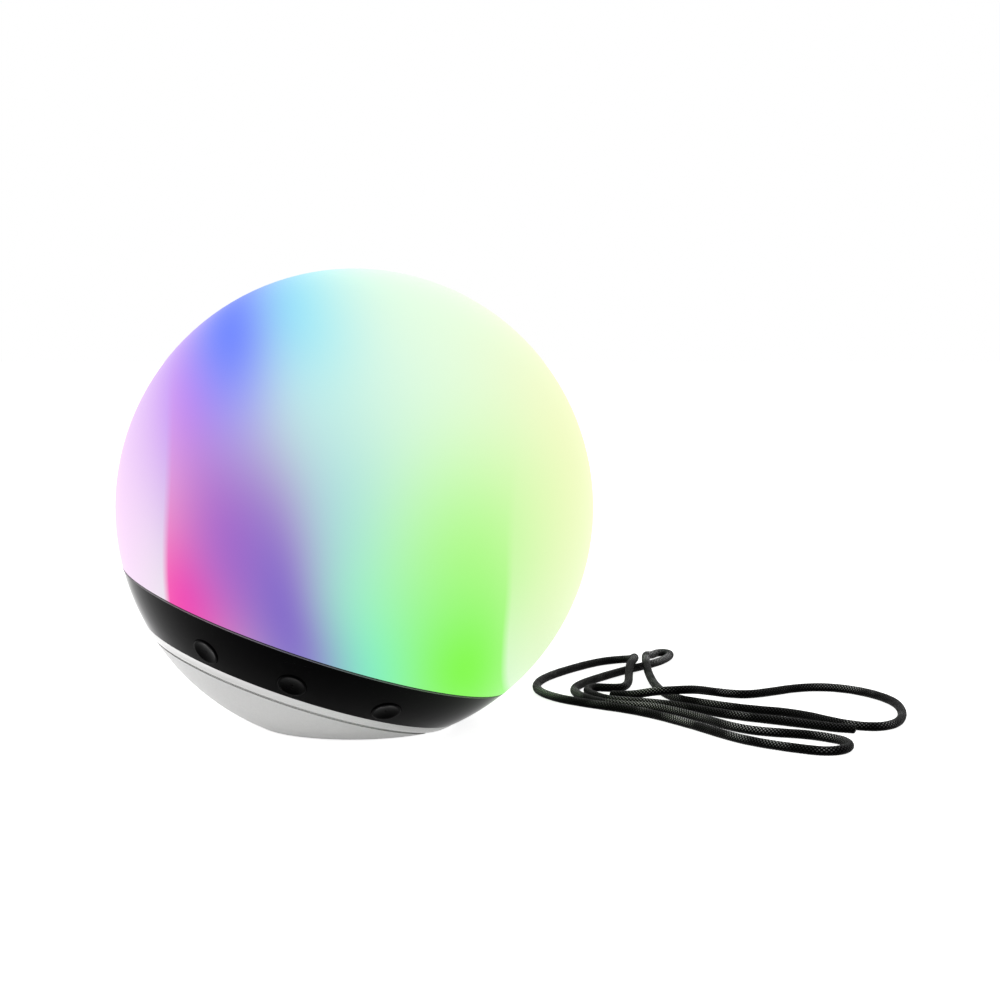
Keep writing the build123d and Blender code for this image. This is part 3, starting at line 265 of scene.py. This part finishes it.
def ropeMaterial():
    # two families of strands wind round opposite ways, and each crossing shows one of them on top
    material, tree, shader = startMaterial("ropeBraidBlack")
    uv = node(tree, "ShaderNodeUVMap", {"uv_map": "braid"}).outputs[0]
    split = node(tree, "ShaderNodeSeparateXYZ", s0=uv)
    turns, around = split.outputs[0], split.outputs[1]
    count = rope["strandsEachWay"]
    first = sums(tree, "MULTIPLY", sums(tree, "ADD", around, turns), count)
    second = sums(tree, "MULTIPLY", sums(tree, "SUBTRACT", around, turns), count)
    firstAcross = sums(tree, "SUBTRACT", sums(tree, "FRACT", first), 0.5)
    secondAcross = sums(tree, "SUBTRACT", sums(tree, "FRACT", second), 0.5)
    cell = sums(tree, "ADD", sums(tree, "FLOOR", first), sums(tree, "FLOOR", second))
    onTop = sums(tree, "FLOORED_MODULO", cell, 2.0)
    # the strand on top: round across, and diving under its neighbours at both ends
    across = blendNumbers(tree, onTop, firstAcross, secondAcross)
    lengthways = blendNumbers(tree, onTop, secondAcross, firstAcross)
    roundness = sums(tree, "COSINE", sums(tree, "MULTIPLY", across, pi * ropeLook["arch"]))
    dive = sums(tree, "COSINE", sums(tree, "MULTIPLY", lengthways, pi * ropeLook["dip"]))
    height = sums(tree, "MULTIPLY", roundness, dive)
    # yarns within a strand, and fuzz over all
    yarn = sums(tree, "SINE", sums(tree, "MULTIPLY", across, 2 * pi * ropeLook["yarns"]))
    height = sums(tree, "ADD", height, sums(tree, "MULTIPLY", yarn, ropeLook["yarnHeight"]))
    place = objectPlace(tree)
    fuzz = noise(tree, place, ropeLook["fuzz"], 4.0, 0.6)
    patch = noise(tree, place, ropeLook["stretches"], 2.0)
    lifted = sums(tree, "SINE", sums(tree, "MULTIPLY", around, 2 * pi))
    upper = fit(tree, lifted, *ropeLook["upper"])
    height = sums(tree, "ADD", height, sums(tree, "MULTIPLY", fuzz, ropeLook["fuzzHeight"]))
    addBump(tree, shader, height, ropeLook["bump"], ropeLook["depth"])
    # painted shade: the braid's colour is darker in the valleys between its strands
    valleyShaded = blendColours(tree, fit(tree, height, *ropeLook["shades"]),
                        linear(ropeLook["valleyShade"]), linear(ropeLook["ridge"]))
    # painted highlight: the crown of each strand on the side facing up, where the light falls, is
    # pale, in some stretches more than in others
    stretch = fit(tree, patch, *ropeLook["highlightStretch"], *ropeLook["highlightShare"])
    crownHighlight = sums(tree, "MULTIPLY", fit(tree, height, *ropeLook["crownHighlight"]), stretch)
    paintedHighlight = blendColours(tree, sums(tree, "MULTIPLY", crownHighlight, upper), valleyShaded,
                        linear(ropeLook["paintedHighlight"]))
    tree.links.new(paintedHighlight, shader.inputs["Base Color"])
    tree.links.new(vary(tree, fuzz, *ropeLook["shine"]), shader.inputs["Roughness"])
    shader.inputs["IOR"].default_value = rope["index"]
    shader.inputs["Specular Tint"].default_value = (rope["facing"],) * 3 + (1,)
    return material


braidMesh, ropeLine = ropeMesh()
ropePiece = bpy.data.objects.new("ropeBraid", braidMesh)
bpy.context.scene.collection.objects.link(ropePiece)
braidMesh.materials.append(ropeMaterial())
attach(ropePiece, "lamp")
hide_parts("rope")
laid = np.linalg.norm(np.diff(ropeLine, axis=0), axis=1).sum()
print("rope laid:", round(float(laid), 4), "m")

# ---- milky globe, lit from within by coloured lights whose patches of light overlap
globe = {"radius": 0.1, "centre": 0.092, "glow": 0.84, "body": 0.16, "rough": 0.5, "index": 1.1,
         "drift": 0.035, "driftScale": 11.0, "base": (0.9, 1.0, 0.9), "edge": 0.03,
         "grain": 1400.0, "bump": 0.05, "depth": 0.00005}
# place and reach count in ball radii, across and up; a lean moves a patch across as it goes down,
# and from and to are places where a patch is cut off
globeLights = [
    {"hue": (1.0, 1.0, 0.8), "place": (0.9, 0.2), "reach": (0.4, 1.0),
     "share": 0.9},
    {"hue": (1.0, 0.85, 1.0), "place": (-1.0, 0.1), "reach": (0.45, 1.2),
     "share": 0.9},
    {"hue": (0.8, 0.5, 1.0), "place": (-0.6, 0.5), "reach": (0.25, 0.45),
     "share": 0.8},
    {"hue": (0.6, 0.85, 0.9), "place": (0.0, 0.0), "reach": (0.35, 0.6),
     "share": 0.7, "lean": 0.2},
    {"hue": (0.5, 0.9, 1.0), "place": (-0.05, 0.85), "reach": (0.25, 0.35),
     "share": 0.7, "lean": 0.2},
    {"hue": (0.5, 1.0, 0.85), "place": (0.1, -0.6), "reach": (0.35, 0.45),
     "share": 0.9},
    {"hue": (0.7, 1.0, 0.5), "place": (0.5, -0.1), "reach": (0.35, 0.45),
     "share": 0.7},
    {"hue": (0.5, 1.0, 0.2), "place": (0.5, -0.6), "reach": (0.3, 0.45),
     "share": 0.9, "to": 0.67},
    {"hue": (1.0, 0.3, 0.7), "place": (-0.6, -0.3), "reach": (0.35, 0.5),
     "share": 1.0, "from": -0.71},
    {"hue": (0.7, 0.4, 0.8), "place": (-0.45, -0.05), "reach": (0.2, 0.4),
     "share": 0.8, "lean": 0.2},
    {"hue": (0.5, 0.4, 0.8), "place": (-0.3, -0.35), "reach": (0.22, 0.7),
     "share": 0.9, "lean": 0.2},
    {"hue": (0.4, 0.5, 1.0), "place": (-0.45, 0.75), "reach": (0.18, 0.35),
     "share": 0.9}]


def lightPatch(tree, across, up, light):
    # amount = share * exp(-(across / reach)^2 - (up / reach)^2), both from the patch's own middle
    leaning = sums(tree, "MULTIPLY_ADD", up, light.get("lean", 0.0), across)
    farX, farZ = [sums(tree, "DIVIDE", sums(tree, "SUBTRACT", way, middle), reach)
                  for way, middle, reach in zip((leaning, up), light["place"], light["reach"])]
    far = sums(tree, "MULTIPLY_ADD", farX, farX, sums(tree, "MULTIPLY", farZ, farZ))
    fade = sums(tree, "EXPONENT", sums(tree, "MULTIPLY", far, -1.0))
    amount = sums(tree, "MULTIPLY", fade, light["share"])
    if "from" in light:
        cut = fit(tree, across, light["from"], light["from"] + globe["edge"])
        amount = sums(tree, "MULTIPLY", amount, cut)
    if "to" in light:
        cut = fit(tree, across, light["to"], light["to"] - globe["edge"])
        amount = sums(tree, "MULTIPLY", amount, cut)
    return amount


def globeMaterial():
    # one patch of coloured light after another is laid over the pale ball
    material, tree, shader = startMaterial("globeMilky")
    place = objectPlace(tree)
    drift = noise(tree, place, globe["driftScale"], 1.0)
    split = node(tree, "ShaderNodeSeparateXYZ", s0=place)
    across = sums(tree, "DIVIDE", split.outputs[0], globe["radius"])
    across = sums(tree, "ADD", across, vary(tree, drift, -globe["drift"], globe["drift"]))
    up = sums(tree, "SUBTRACT", split.outputs[2], globe["centre"])
    up = sums(tree, "DIVIDE", up, globe["radius"])
    glow = linear(globe["base"])
    for light in globeLights:
        glow = blendColours(tree, lightPatch(tree, across, up, light), glow, linear(light["hue"]))
    # painted light: the ball's own colour carries the same patches of coloured light, darkened
    body = blendColours(tree, 1.0, glow, (globe["body"],) * 3 + (1,), "MULTIPLY")
    tree.links.new(body, shader.inputs["Base Color"])
    tree.links.new(glow, shader.inputs["Emission Color"])
    shader.inputs["Emission Strength"].default_value = globe["glow"]
    grain = noise(tree, place, globe["grain"], 2.0)
    tree.links.new(vary(tree, grain, globe["rough"] - 0.05, globe["rough"] + 0.05),
                   shader.inputs["Roughness"])
    addBump(tree, shader, grain, globe["bump"], globe["depth"])
    shader.inputs["IOR"].default_value = globe["index"]
    return material


dress(["diffuser"], globeMaterial())
print("globe dressed")

# ---- gloss black band, charging flap and push buttons
# the pale line along the band's chamfer is a painted highlight
band = {"colour": (0.006, 0.006, 0.007), "rough": 0.06, "index": 1.1, "facing": 0.1,
        "centre": globe["centre"], "lean": 18.8, "edge": -0.05321, "edgeSoft": 0.0001,
        "chamferHighlight": (0.5, 0.5, 0.5)}
buttons = {"colour": (0.006, 0.006, 0.007), "rough": 0.08, "index": 1.1, "facing": 0.1}
polish = {"scale": 60.0, "streak": (1, 1, 5), "wiped": (0.02, 0.02, 0.022)}


def glossBlack(name, look):
    # near black gloss with faint wiping marks in its polish
    material, tree, shader = startMaterial(name)
    place = objectPlace(tree)
    wiped = noise(tree, place, polish["scale"], 4.0, 0.6, stretch=polish["streak"])
    tint = blendColours(tree, fit(tree, wiped, 0.4, 0.7, 0.0, 0.3), linear(look["colour"]),
                        linear(polish["wiped"]))
    tree.links.new(tint, shader.inputs["Base Color"])
    tree.links.new(fit(tree, wiped, 0.35, 0.75, look["rough"] - 0.02, look["rough"] + 0.05),
                   shader.inputs["Roughness"])
    shader.inputs["IOR"].default_value = look["index"]
    shader.inputs["Specular Tint"].default_value = (look["facing"],) * 3 + (1,)
    return material, tree, shader


def bandMaterial():
    # the gloss black, with a painted highlight, a pale line along the chamfer of its top edge:
    # height over the ball's centre along the leaning axis = x sin(lean) + (z - centre) cos(lean)
    material, tree, shader = glossBlack("bandGlossBlack", band)
    black = shader.inputs["Base Color"].links[0].from_socket
    split = node(tree, "ShaderNodeSeparateXYZ", s0=objectPlace(tree))
    raised = sums(tree, "SUBTRACT", split.outputs[2], band["centre"])
    lean = radians(band["lean"])
    height = sums(tree, "ADD", sums(tree, "MULTIPLY", split.outputs[0], float(np.sin(lean))),
                  sums(tree, "MULTIPLY", raised, float(np.cos(lean))))
    edge = fit(tree, height, band["edge"] - band["edgeSoft"], band["edge"])
    tree.links.new(blendColours(tree, edge, black, linear(band["chamferHighlight"])),
                   shader.inputs["Base Color"])
    return material


dress(["band_housing"], bandMaterial())
dress(["charge_flap"], glossBlack("flapGlossBlack", band)[0])
dress(["button_left", "button_middle", "button_right"], glossBlack("buttonGlossBlack", buttons)[0])
print("band and buttons dressed")

# ---- bright trim ring and satin silver base
trim = {"colour": (0.80, 0.80, 0.795), "second": (0.72, 0.72, 0.715), "rough": 0.2, "metal": 0.8,
        "turning": 260.0, "streak": (0.15, 0.15, 6)}
base = {"colour": (0.87, 0.87, 0.865), "second": (0.78, 0.78, 0.775), "rough": 0.38, "metal": 0.35,
        "flakes": 2600.0, "peel": 420.0, "bump": 0.06, "depth": 0.00006}


def brightTrim():
    # turning marks are a noise drawn out round the ring
    material, tree, shader = startMaterial("trimBright")
    place = objectPlace(tree)
    turned = noise(tree, place, trim["turning"], 3.0, 0.6, stretch=trim["streak"])
    tree.links.new(blendColours(tree, vary(tree, turned, 0.0, 0.25),
                                linear(trim["colour"]), linear(trim["second"])),
                   shader.inputs["Base Color"])
    tree.links.new(vary(tree, turned, trim["rough"] - 0.05, trim["rough"] + 0.08),
                   shader.inputs["Roughness"])
    shader.inputs["Metallic"].default_value = trim["metal"]
    return material


def silverBase():
    # silver lacquer: fine flakes in the colour, orange peel in the surface
    material, tree, shader = startMaterial("baseSilver")
    place = objectPlace(tree)
    flakes = node(tree, "ShaderNodeTexVoronoi", s0=place,
                  Scale=base["flakes"]).outputs["Distance"]
    peel = noise(tree, place, base["peel"], 2.0)
    tree.links.new(blendColours(tree, fit(tree, flakes, 0.2, 0.7, 0.0, 0.4),
                                linear(base["colour"]), linear(base["second"])),
                   shader.inputs["Base Color"])
    tree.links.new(vary(tree, peel, base["rough"] - 0.05, base["rough"] + 0.06),
                   shader.inputs["Roughness"])
    addBump(tree, shader, peel, base["bump"], base["depth"])
    shader.inputs["Metallic"].default_value = base["metal"]
    return material


dress(["trim_ring"], brightTrim())
dress(["base_bowl"], silverBase())
print("trim ring and base dressed")

# ---- the parts inside and underneath: rubber, moulded plastic, boards, metal and wire
moulded = {
    "padRubber": {"parts": ["foot_pad"], "colour": (0.10, 0.10, 0.10),
                  "second": (0.15, 0.15, 0.15), "rough": 0.8, "grain": 700.0, "depth": 0.0001},
    "gasketRubber": {"parts": ["diffuser_gasket", "bowl_gasket"], "colour": (0.05, 0.05, 0.05),
                     "second": (0.08, 0.08, 0.08), "rough": 0.75, "grain": 900.0, "depth": 0.00005},
    "sealSilicone": {"parts": ["flap_seal", "button_seals"], "colour": (0.04, 0.04, 0.042),
                     "second": (0.07, 0.07, 0.072), "rough": 0.6, "grain": 600.0, "depth": 0.00003},
    "reflectorWhite": {"parts": ["reflector"], "colour": (0.95, 0.95, 0.94),
                       "second": (0.91, 0.91, 0.90), "rough": 0.35, "grain": 240.0,
                       "depth": 0.00002},
    "plugNatural": {"parts": ["led_plug"], "colour": (0.93, 0.90, 0.80),
                    "second": (0.88, 0.84, 0.73), "rough": 0.5, "grain": 500.0, "depth": 0.00002},
    "trayBlack": {"parts": ["battery_tray"], "colour": (0.14, 0.14, 0.15),
                  "second": (0.18, 0.18, 0.19), "rough": 0.62, "grain": 800.0, "depth": 0.00006},
    "switchBlack": {"parts": ["switch_bodies"], "colour": (0.11, 0.11, 0.115),
                    "second": (0.15, 0.15, 0.155), "rough": 0.5, "grain": 1200.0, "depth": 0.00003},
    "stemRed": {"parts": ["switch_stem_left", "switch_stem_middle", "switch_stem_right"],
                "colour": (0.76, 0.15, 0.10), "second": (0.68, 0.12, 0.09), "rough": 0.45,
                "grain": 1500.0, "depth": 0.00002},
    "componentBlack": {"parts": ["control_components"], "colour": (0.09, 0.09, 0.095),
                       "second": (0.16, 0.16, 0.165), "rough": 0.55, "grain": 1600.0,
                       "depth": 0.00003}}
metals = {
    "screwZinc": {"parts": ["bowl_screws", "carrier_screws", "charge_board_screws",
                            "control_screws", "diffuser_screws", "led_board_screws",
                            "reflector_screws", "switch_board_screws", "tray_screws"],
                  "colour": (0.76, 0.76, 0.74), "second": (0.66, 0.67, 0.68), "rough": 0.3,
                  "streak": (1, 1, 8)},
    "carrierAluminium": {"parts": ["led_carrier"], "colour": (0.86, 0.87, 0.88),
                         "second": (0.79, 0.80, 0.81), "rough": 0.38, "streak": (1, 12, 1)},
    "turnedBrass": {"parts": ["board_standoffs", "base_pillars"], "colour": (0.84, 0.69, 0.38),
                    "second": (0.75, 0.60, 0.31), "rough": 0.28, "streak": (1, 1, 9)},
    "contactNickel": {"parts": ["battery_contacts", "battery_clamp"], "colour": (0.83, 0.82, 0.78),
                      "second": (0.74, 0.73, 0.70), "rough": 0.25, "streak": (1, 6, 1)},
    "socketShell": {"parts": ["charge_socket"], "colour": (0.78, 0.78, 0.79),
                    "second": (0.68, 0.68, 0.70), "rough": 0.3, "streak": (6, 1, 1)}}
wires = {
    "wireGrey": {"parts": ["led_lead"], "colour": (0.80, 0.80, 0.77),
                 "second": (0.72, 0.72, 0.69)},
    "wireRed": {"parts": ["battery_lead"], "colour": (0.66, 0.08, 0.06),
                "second": (0.55, 0.06, 0.05)},
    "wireBlue": {"parts": ["switch_leads"], "colour": (0.14, 0.15, 0.45),
                 "second": (0.10, 0.11, 0.36)},
    "wireBlack": {"parts": ["charge_lead"], "colour": (0.09, 0.09, 0.09),
                  "second": (0.14, 0.14, 0.14)}}
boards = {
    "boardGreen": {"parts": ["control_board", "switch_boards", "charge_board"],
                   "colour": (0.04, 0.24, 0.12), "second": (0.08, 0.36, 0.18)},
    "boardWhite": {"parts": ["led_board"], "colour": (0.92, 0.93, 0.92),
                   "second": (0.85, 0.87, 0.86)}}
# noise scales and relief that a whole kind of material shares
mouldedKind = {"clouds": 70.0, "bump": 0.5}
metalKind = {"marks": 500.0, "dull": 90.0, "bump": 0.25, "depth": 0.00002}
wireKind = {"blotches": 120.0, "rough": (0.35, 0.5)}
boardKind = {"pitch": 2600.0, "width": 0.45, "blocks": 130.0, "copper": 60.0,
             "rough": (0.28, 0.4), "bump": 0.4, "depth": 0.00004}


def mouldedMaterial(name, look):
    # a fine moulded grain raises the surface and shifts its colour and gloss a little
    material, tree, shader = startMaterial(name)
    place = objectPlace(tree)
    grain = noise(tree, place, look["grain"], 3.0, 0.6)
    cloud = noise(tree, place, mouldedKind["clouds"], 2.0)
    tree.links.new(blendColours(tree, vary(tree, cloud), linear(look["colour"]),
                                linear(look["second"])), shader.inputs["Base Color"])
    tree.links.new(vary(tree, grain, look["rough"] - 0.06, look["rough"] + 0.06),
                   shader.inputs["Roughness"])
    addBump(tree, shader, grain, mouldedKind["bump"], look["depth"])
    return material


def metalMaterial(name, look):
    # tool marks are a noise drawn out along one way
    material, tree, shader = startMaterial(name)
    place = objectPlace(tree)
    marks = noise(tree, place, metalKind["marks"], 4.0, 0.6, stretch=look["streak"])
    dull = noise(tree, place, metalKind["dull"], 2.0)
    tree.links.new(blendColours(tree, fit(tree, marks, 0.35, 0.7), linear(look["colour"]),
                                linear(look["second"])), shader.inputs["Base Color"])
    tree.links.new(vary(tree, dull, look["rough"] - 0.07, look["rough"] + 0.1),
                   shader.inputs["Roughness"])
    addBump(tree, shader, marks, metalKind["bump"], metalKind["depth"])
    shader.inputs["Metallic"].default_value = 1.0
    return material


def wireMaterial(name, look):
    # soft insulation: slightly blotched, with dull and shiny places
    material, tree, shader = startMaterial(name)
    place = objectPlace(tree)
    blotch = noise(tree, place, wireKind["blotches"], 3.0)
    tree.links.new(blendColours(tree, vary(tree, blotch), linear(look["colour"]),
                                linear(look["second"])), shader.inputs["Base Color"])
    tree.links.new(vary(tree, blotch, *wireKind["rough"]), shader.inputs["Roughness"])
    return material


def boardMaterial(name, look):
    # tracks under the solder mask: stripes both ways, cut up by a blocky noise
    material, tree, shader = startMaterial(name)
    place = objectPlace(tree)
    split = node(tree, "ShaderNodeSeparateXYZ", s0=place)
    waves = [sums(tree, "SINE", sums(tree, "MULTIPLY", axis, boardKind["pitch"]))
             for axis in (split.outputs[0], split.outputs[1])]
    lines = [sums(tree, "GREATER_THAN", wave, boardKind["width"]) for wave in waves]
    block = noise(tree, place, boardKind["blocks"], 0.0)
    either = blendNumbers(tree, sums(tree, "GREATER_THAN", block, 0.5), lines[0], lines[1])
    covered = noise(tree, place, boardKind["copper"], 1.0)
    copper = sums(tree, "MULTIPLY", either, fit(tree, covered, 0.45, 0.55))
    tree.links.new(blendColours(tree, copper, linear(look["colour"]), linear(look["second"])),
                   shader.inputs["Base Color"])
    tree.links.new(vary(tree, block, *boardKind["rough"]), shader.inputs["Roughness"])
    addBump(tree, shader, copper, boardKind["bump"], boardKind["depth"])
    return material


for looks, make in ((moulded, mouldedMaterial), (metals, metalMaterial), (wires, wireMaterial),
                    (boards, boardMaterial)):
    for name, look in looks.items():
        dress(look["parts"], make(name, look))
print("inside parts dressed")

# ---- cells in a printed sleeve, and the lights
cells = {"sleeve": (0.08, 0.36, 0.50), "stripe": (0.88, 0.90, 0.90), "rough": 0.3,
         "stripes": 420.0, "printed": 0.96, "creases": 160.0, "bump": 0.3, "depth": 0.00004}
lights = {"body": (0.94, 0.93, 0.90), "phosphor": (0.95, 0.86, 0.45), "rough": 0.2, "grain": 900.0}


def cellMaterial():
    # shrink sleeve with a pale printed stripe round it now and then
    material, tree, shader = startMaterial("cellSleeve")
    place = objectPlace(tree)
    split = node(tree, "ShaderNodeSeparateXYZ", s0=place)
    wave = sums(tree, "SINE", sums(tree, "MULTIPLY", split.outputs[0], cells["stripes"]))
    printed = sums(tree, "GREATER_THAN", wave, cells["printed"])
    crease = noise(tree, place, cells["creases"], 3.0)
    tree.links.new(blendColours(tree, printed, linear(cells["sleeve"]), linear(cells["stripe"])),
                   shader.inputs["Base Color"])
    tree.links.new(vary(tree, crease, cells["rough"] - 0.05, cells["rough"] + 0.1),
                   shader.inputs["Roughness"])
    addBump(tree, shader, crease, cells["bump"], cells["depth"])
    return material


def lightMaterial():
    # pale moulded body with phosphor showing through in grains
    material, tree, shader = startMaterial("lightPhosphor")
    place = objectPlace(tree)
    grain = noise(tree, place, lights["grain"], 3.0, 0.7)
    tree.links.new(blendColours(tree, fit(tree, grain, 0.4, 0.65), linear(lights["body"]),
                                linear(lights["phosphor"])), shader.inputs["Base Color"])
    tree.links.new(vary(tree, grain, lights["rough"] - 0.05, lights["rough"] + 0.1),
                   shader.inputs["Roughness"])
    return material


dress(["battery_cells"], cellMaterial())
dress(["leds"], lightMaterial())
print("cells and lights dressed")

# ---- floor, backdrop and lamps
stage = {"floor": (0.86, 0.86, 0.86), "lift": 0.84, "near": 0.3, "far": 0.9, "shade": 0.5,
         "shadeFrom": 0.04, "shadeTo": 0.2, "size": 12.0, "sky": 0.5, "back": 1.0,
         "aim": (0, 0, 0.08), "grit": 300.0, "rough": (0.85, 0.95)}
lamps = [{"name": "keyLamp", "place": (-1.3, -1.3, 1.7), "size": 1.3, "power": 26.0},
         {"name": "fillLamp", "place": (1.7, -0.9, 1.1), "size": 1.2, "power": 9.0},
         {"name": "rimLamp", "place": (0.3, 1.8, 1.4), "size": 1.4, "power": 10.0}]


def seenDirectly(tree):
    # 1 for what the camera, a mirror or clear glass looks at, else 0
    path = node(tree, "ShaderNodeLightPath")
    seen = sums(tree, "MAXIMUM", path.outputs["Is Camera Ray"], path.outputs["Is Glossy Ray"])
    return sums(tree, "MAXIMUM", seen, path.outputs["Is Transmission Ray"])


def floorMaterial():
    # plain pale floor, lifted to white where it is looked at
    material, tree, shader = startMaterial("floorPale")
    shader.inputs["Base Color"].default_value = linear(stage["floor"])
    shader.inputs["Specular IOR Level"].default_value = 0.0
    shader.inputs["Emission Color"].default_value = (1, 1, 1, 1)
    # the lift grows with the distance from the lamp until the floor is as white as the backdrop
    length = node(tree, "ShaderNodeVectorMath", {"operation": "LENGTH"}, s0=objectPlace(tree))
    reach = length.outputs["Value"]
    lift = fit(tree, reach, stage["near"], stage["far"], stage["lift"], 1.0, smooth=True)
    # painted shade: a glossy piece mirrors the floor near the lamp darker, standing in for the
    # shadow under the lamp
    mirroredShade = fit(tree, reach, stage["shadeFrom"], stage["shadeTo"], stage["shade"], 1.0,
                   smooth=True)
    inGloss = node(tree, "ShaderNodeLightPath").outputs["Is Glossy Ray"]
    lift = blendNumbers(tree, inGloss, lift, mirroredShade)
    grit = noise(tree, objectPlace(tree), stage["grit"])
    tree.links.new(vary(tree, grit, *stage["rough"]), shader.inputs["Roughness"])
    tree.links.new(sums(tree, "MULTIPLY", seenDirectly(tree), lift),
                   shader.inputs["Emission Strength"])
    return material


half = stage["size"] / 2
floorMesh = bpy.data.meshes.new("floor")
floorMesh.from_pydata([(-half, -half, 0), (half, -half, 0), (half, half, 0), (-half, half, 0)], [],
                      [(0, 1, 2, 3)])
floorMesh.materials.append(floorMaterial())
floorObject = bpy.data.objects.new("floor", floorMesh)
bpy.context.scene.collection.objects.link(floorObject)

world = bpy.data.worlds.new("backdrop")
bpy.context.scene.world = world
world.use_nodes = True
worldTree = world.node_tree
background = worldTree.nodes["Background"]
background.inputs["Color"].default_value = (1, 1, 1, 1)
worldTree.links.new(fit(worldTree, seenDirectly(worldTree), 0.0, 1.0, stage["sky"], stage["back"]),
                    background.inputs["Strength"])

for lamp in lamps:
    data = bpy.data.lights.new(lamp["name"], "AREA")
    data.size = lamp["size"]
    data.energy = lamp["power"]
    light = bpy.data.objects.new(lamp["name"], data)
    light.location = lamp["place"]
    aim = np.array(stage["aim"]) - np.array(lamp["place"])
    light.rotation_euler = (float(np.arctan2(np.hypot(aim[0], aim[1]), -aim[2])), 0,
                            float(np.arctan2(aim[0], -aim[1]) + pi))
    bpy.context.scene.collection.objects.link(light)
bpy.context.scene.view_settings.view_transform = "Standard"
print("stage lit")
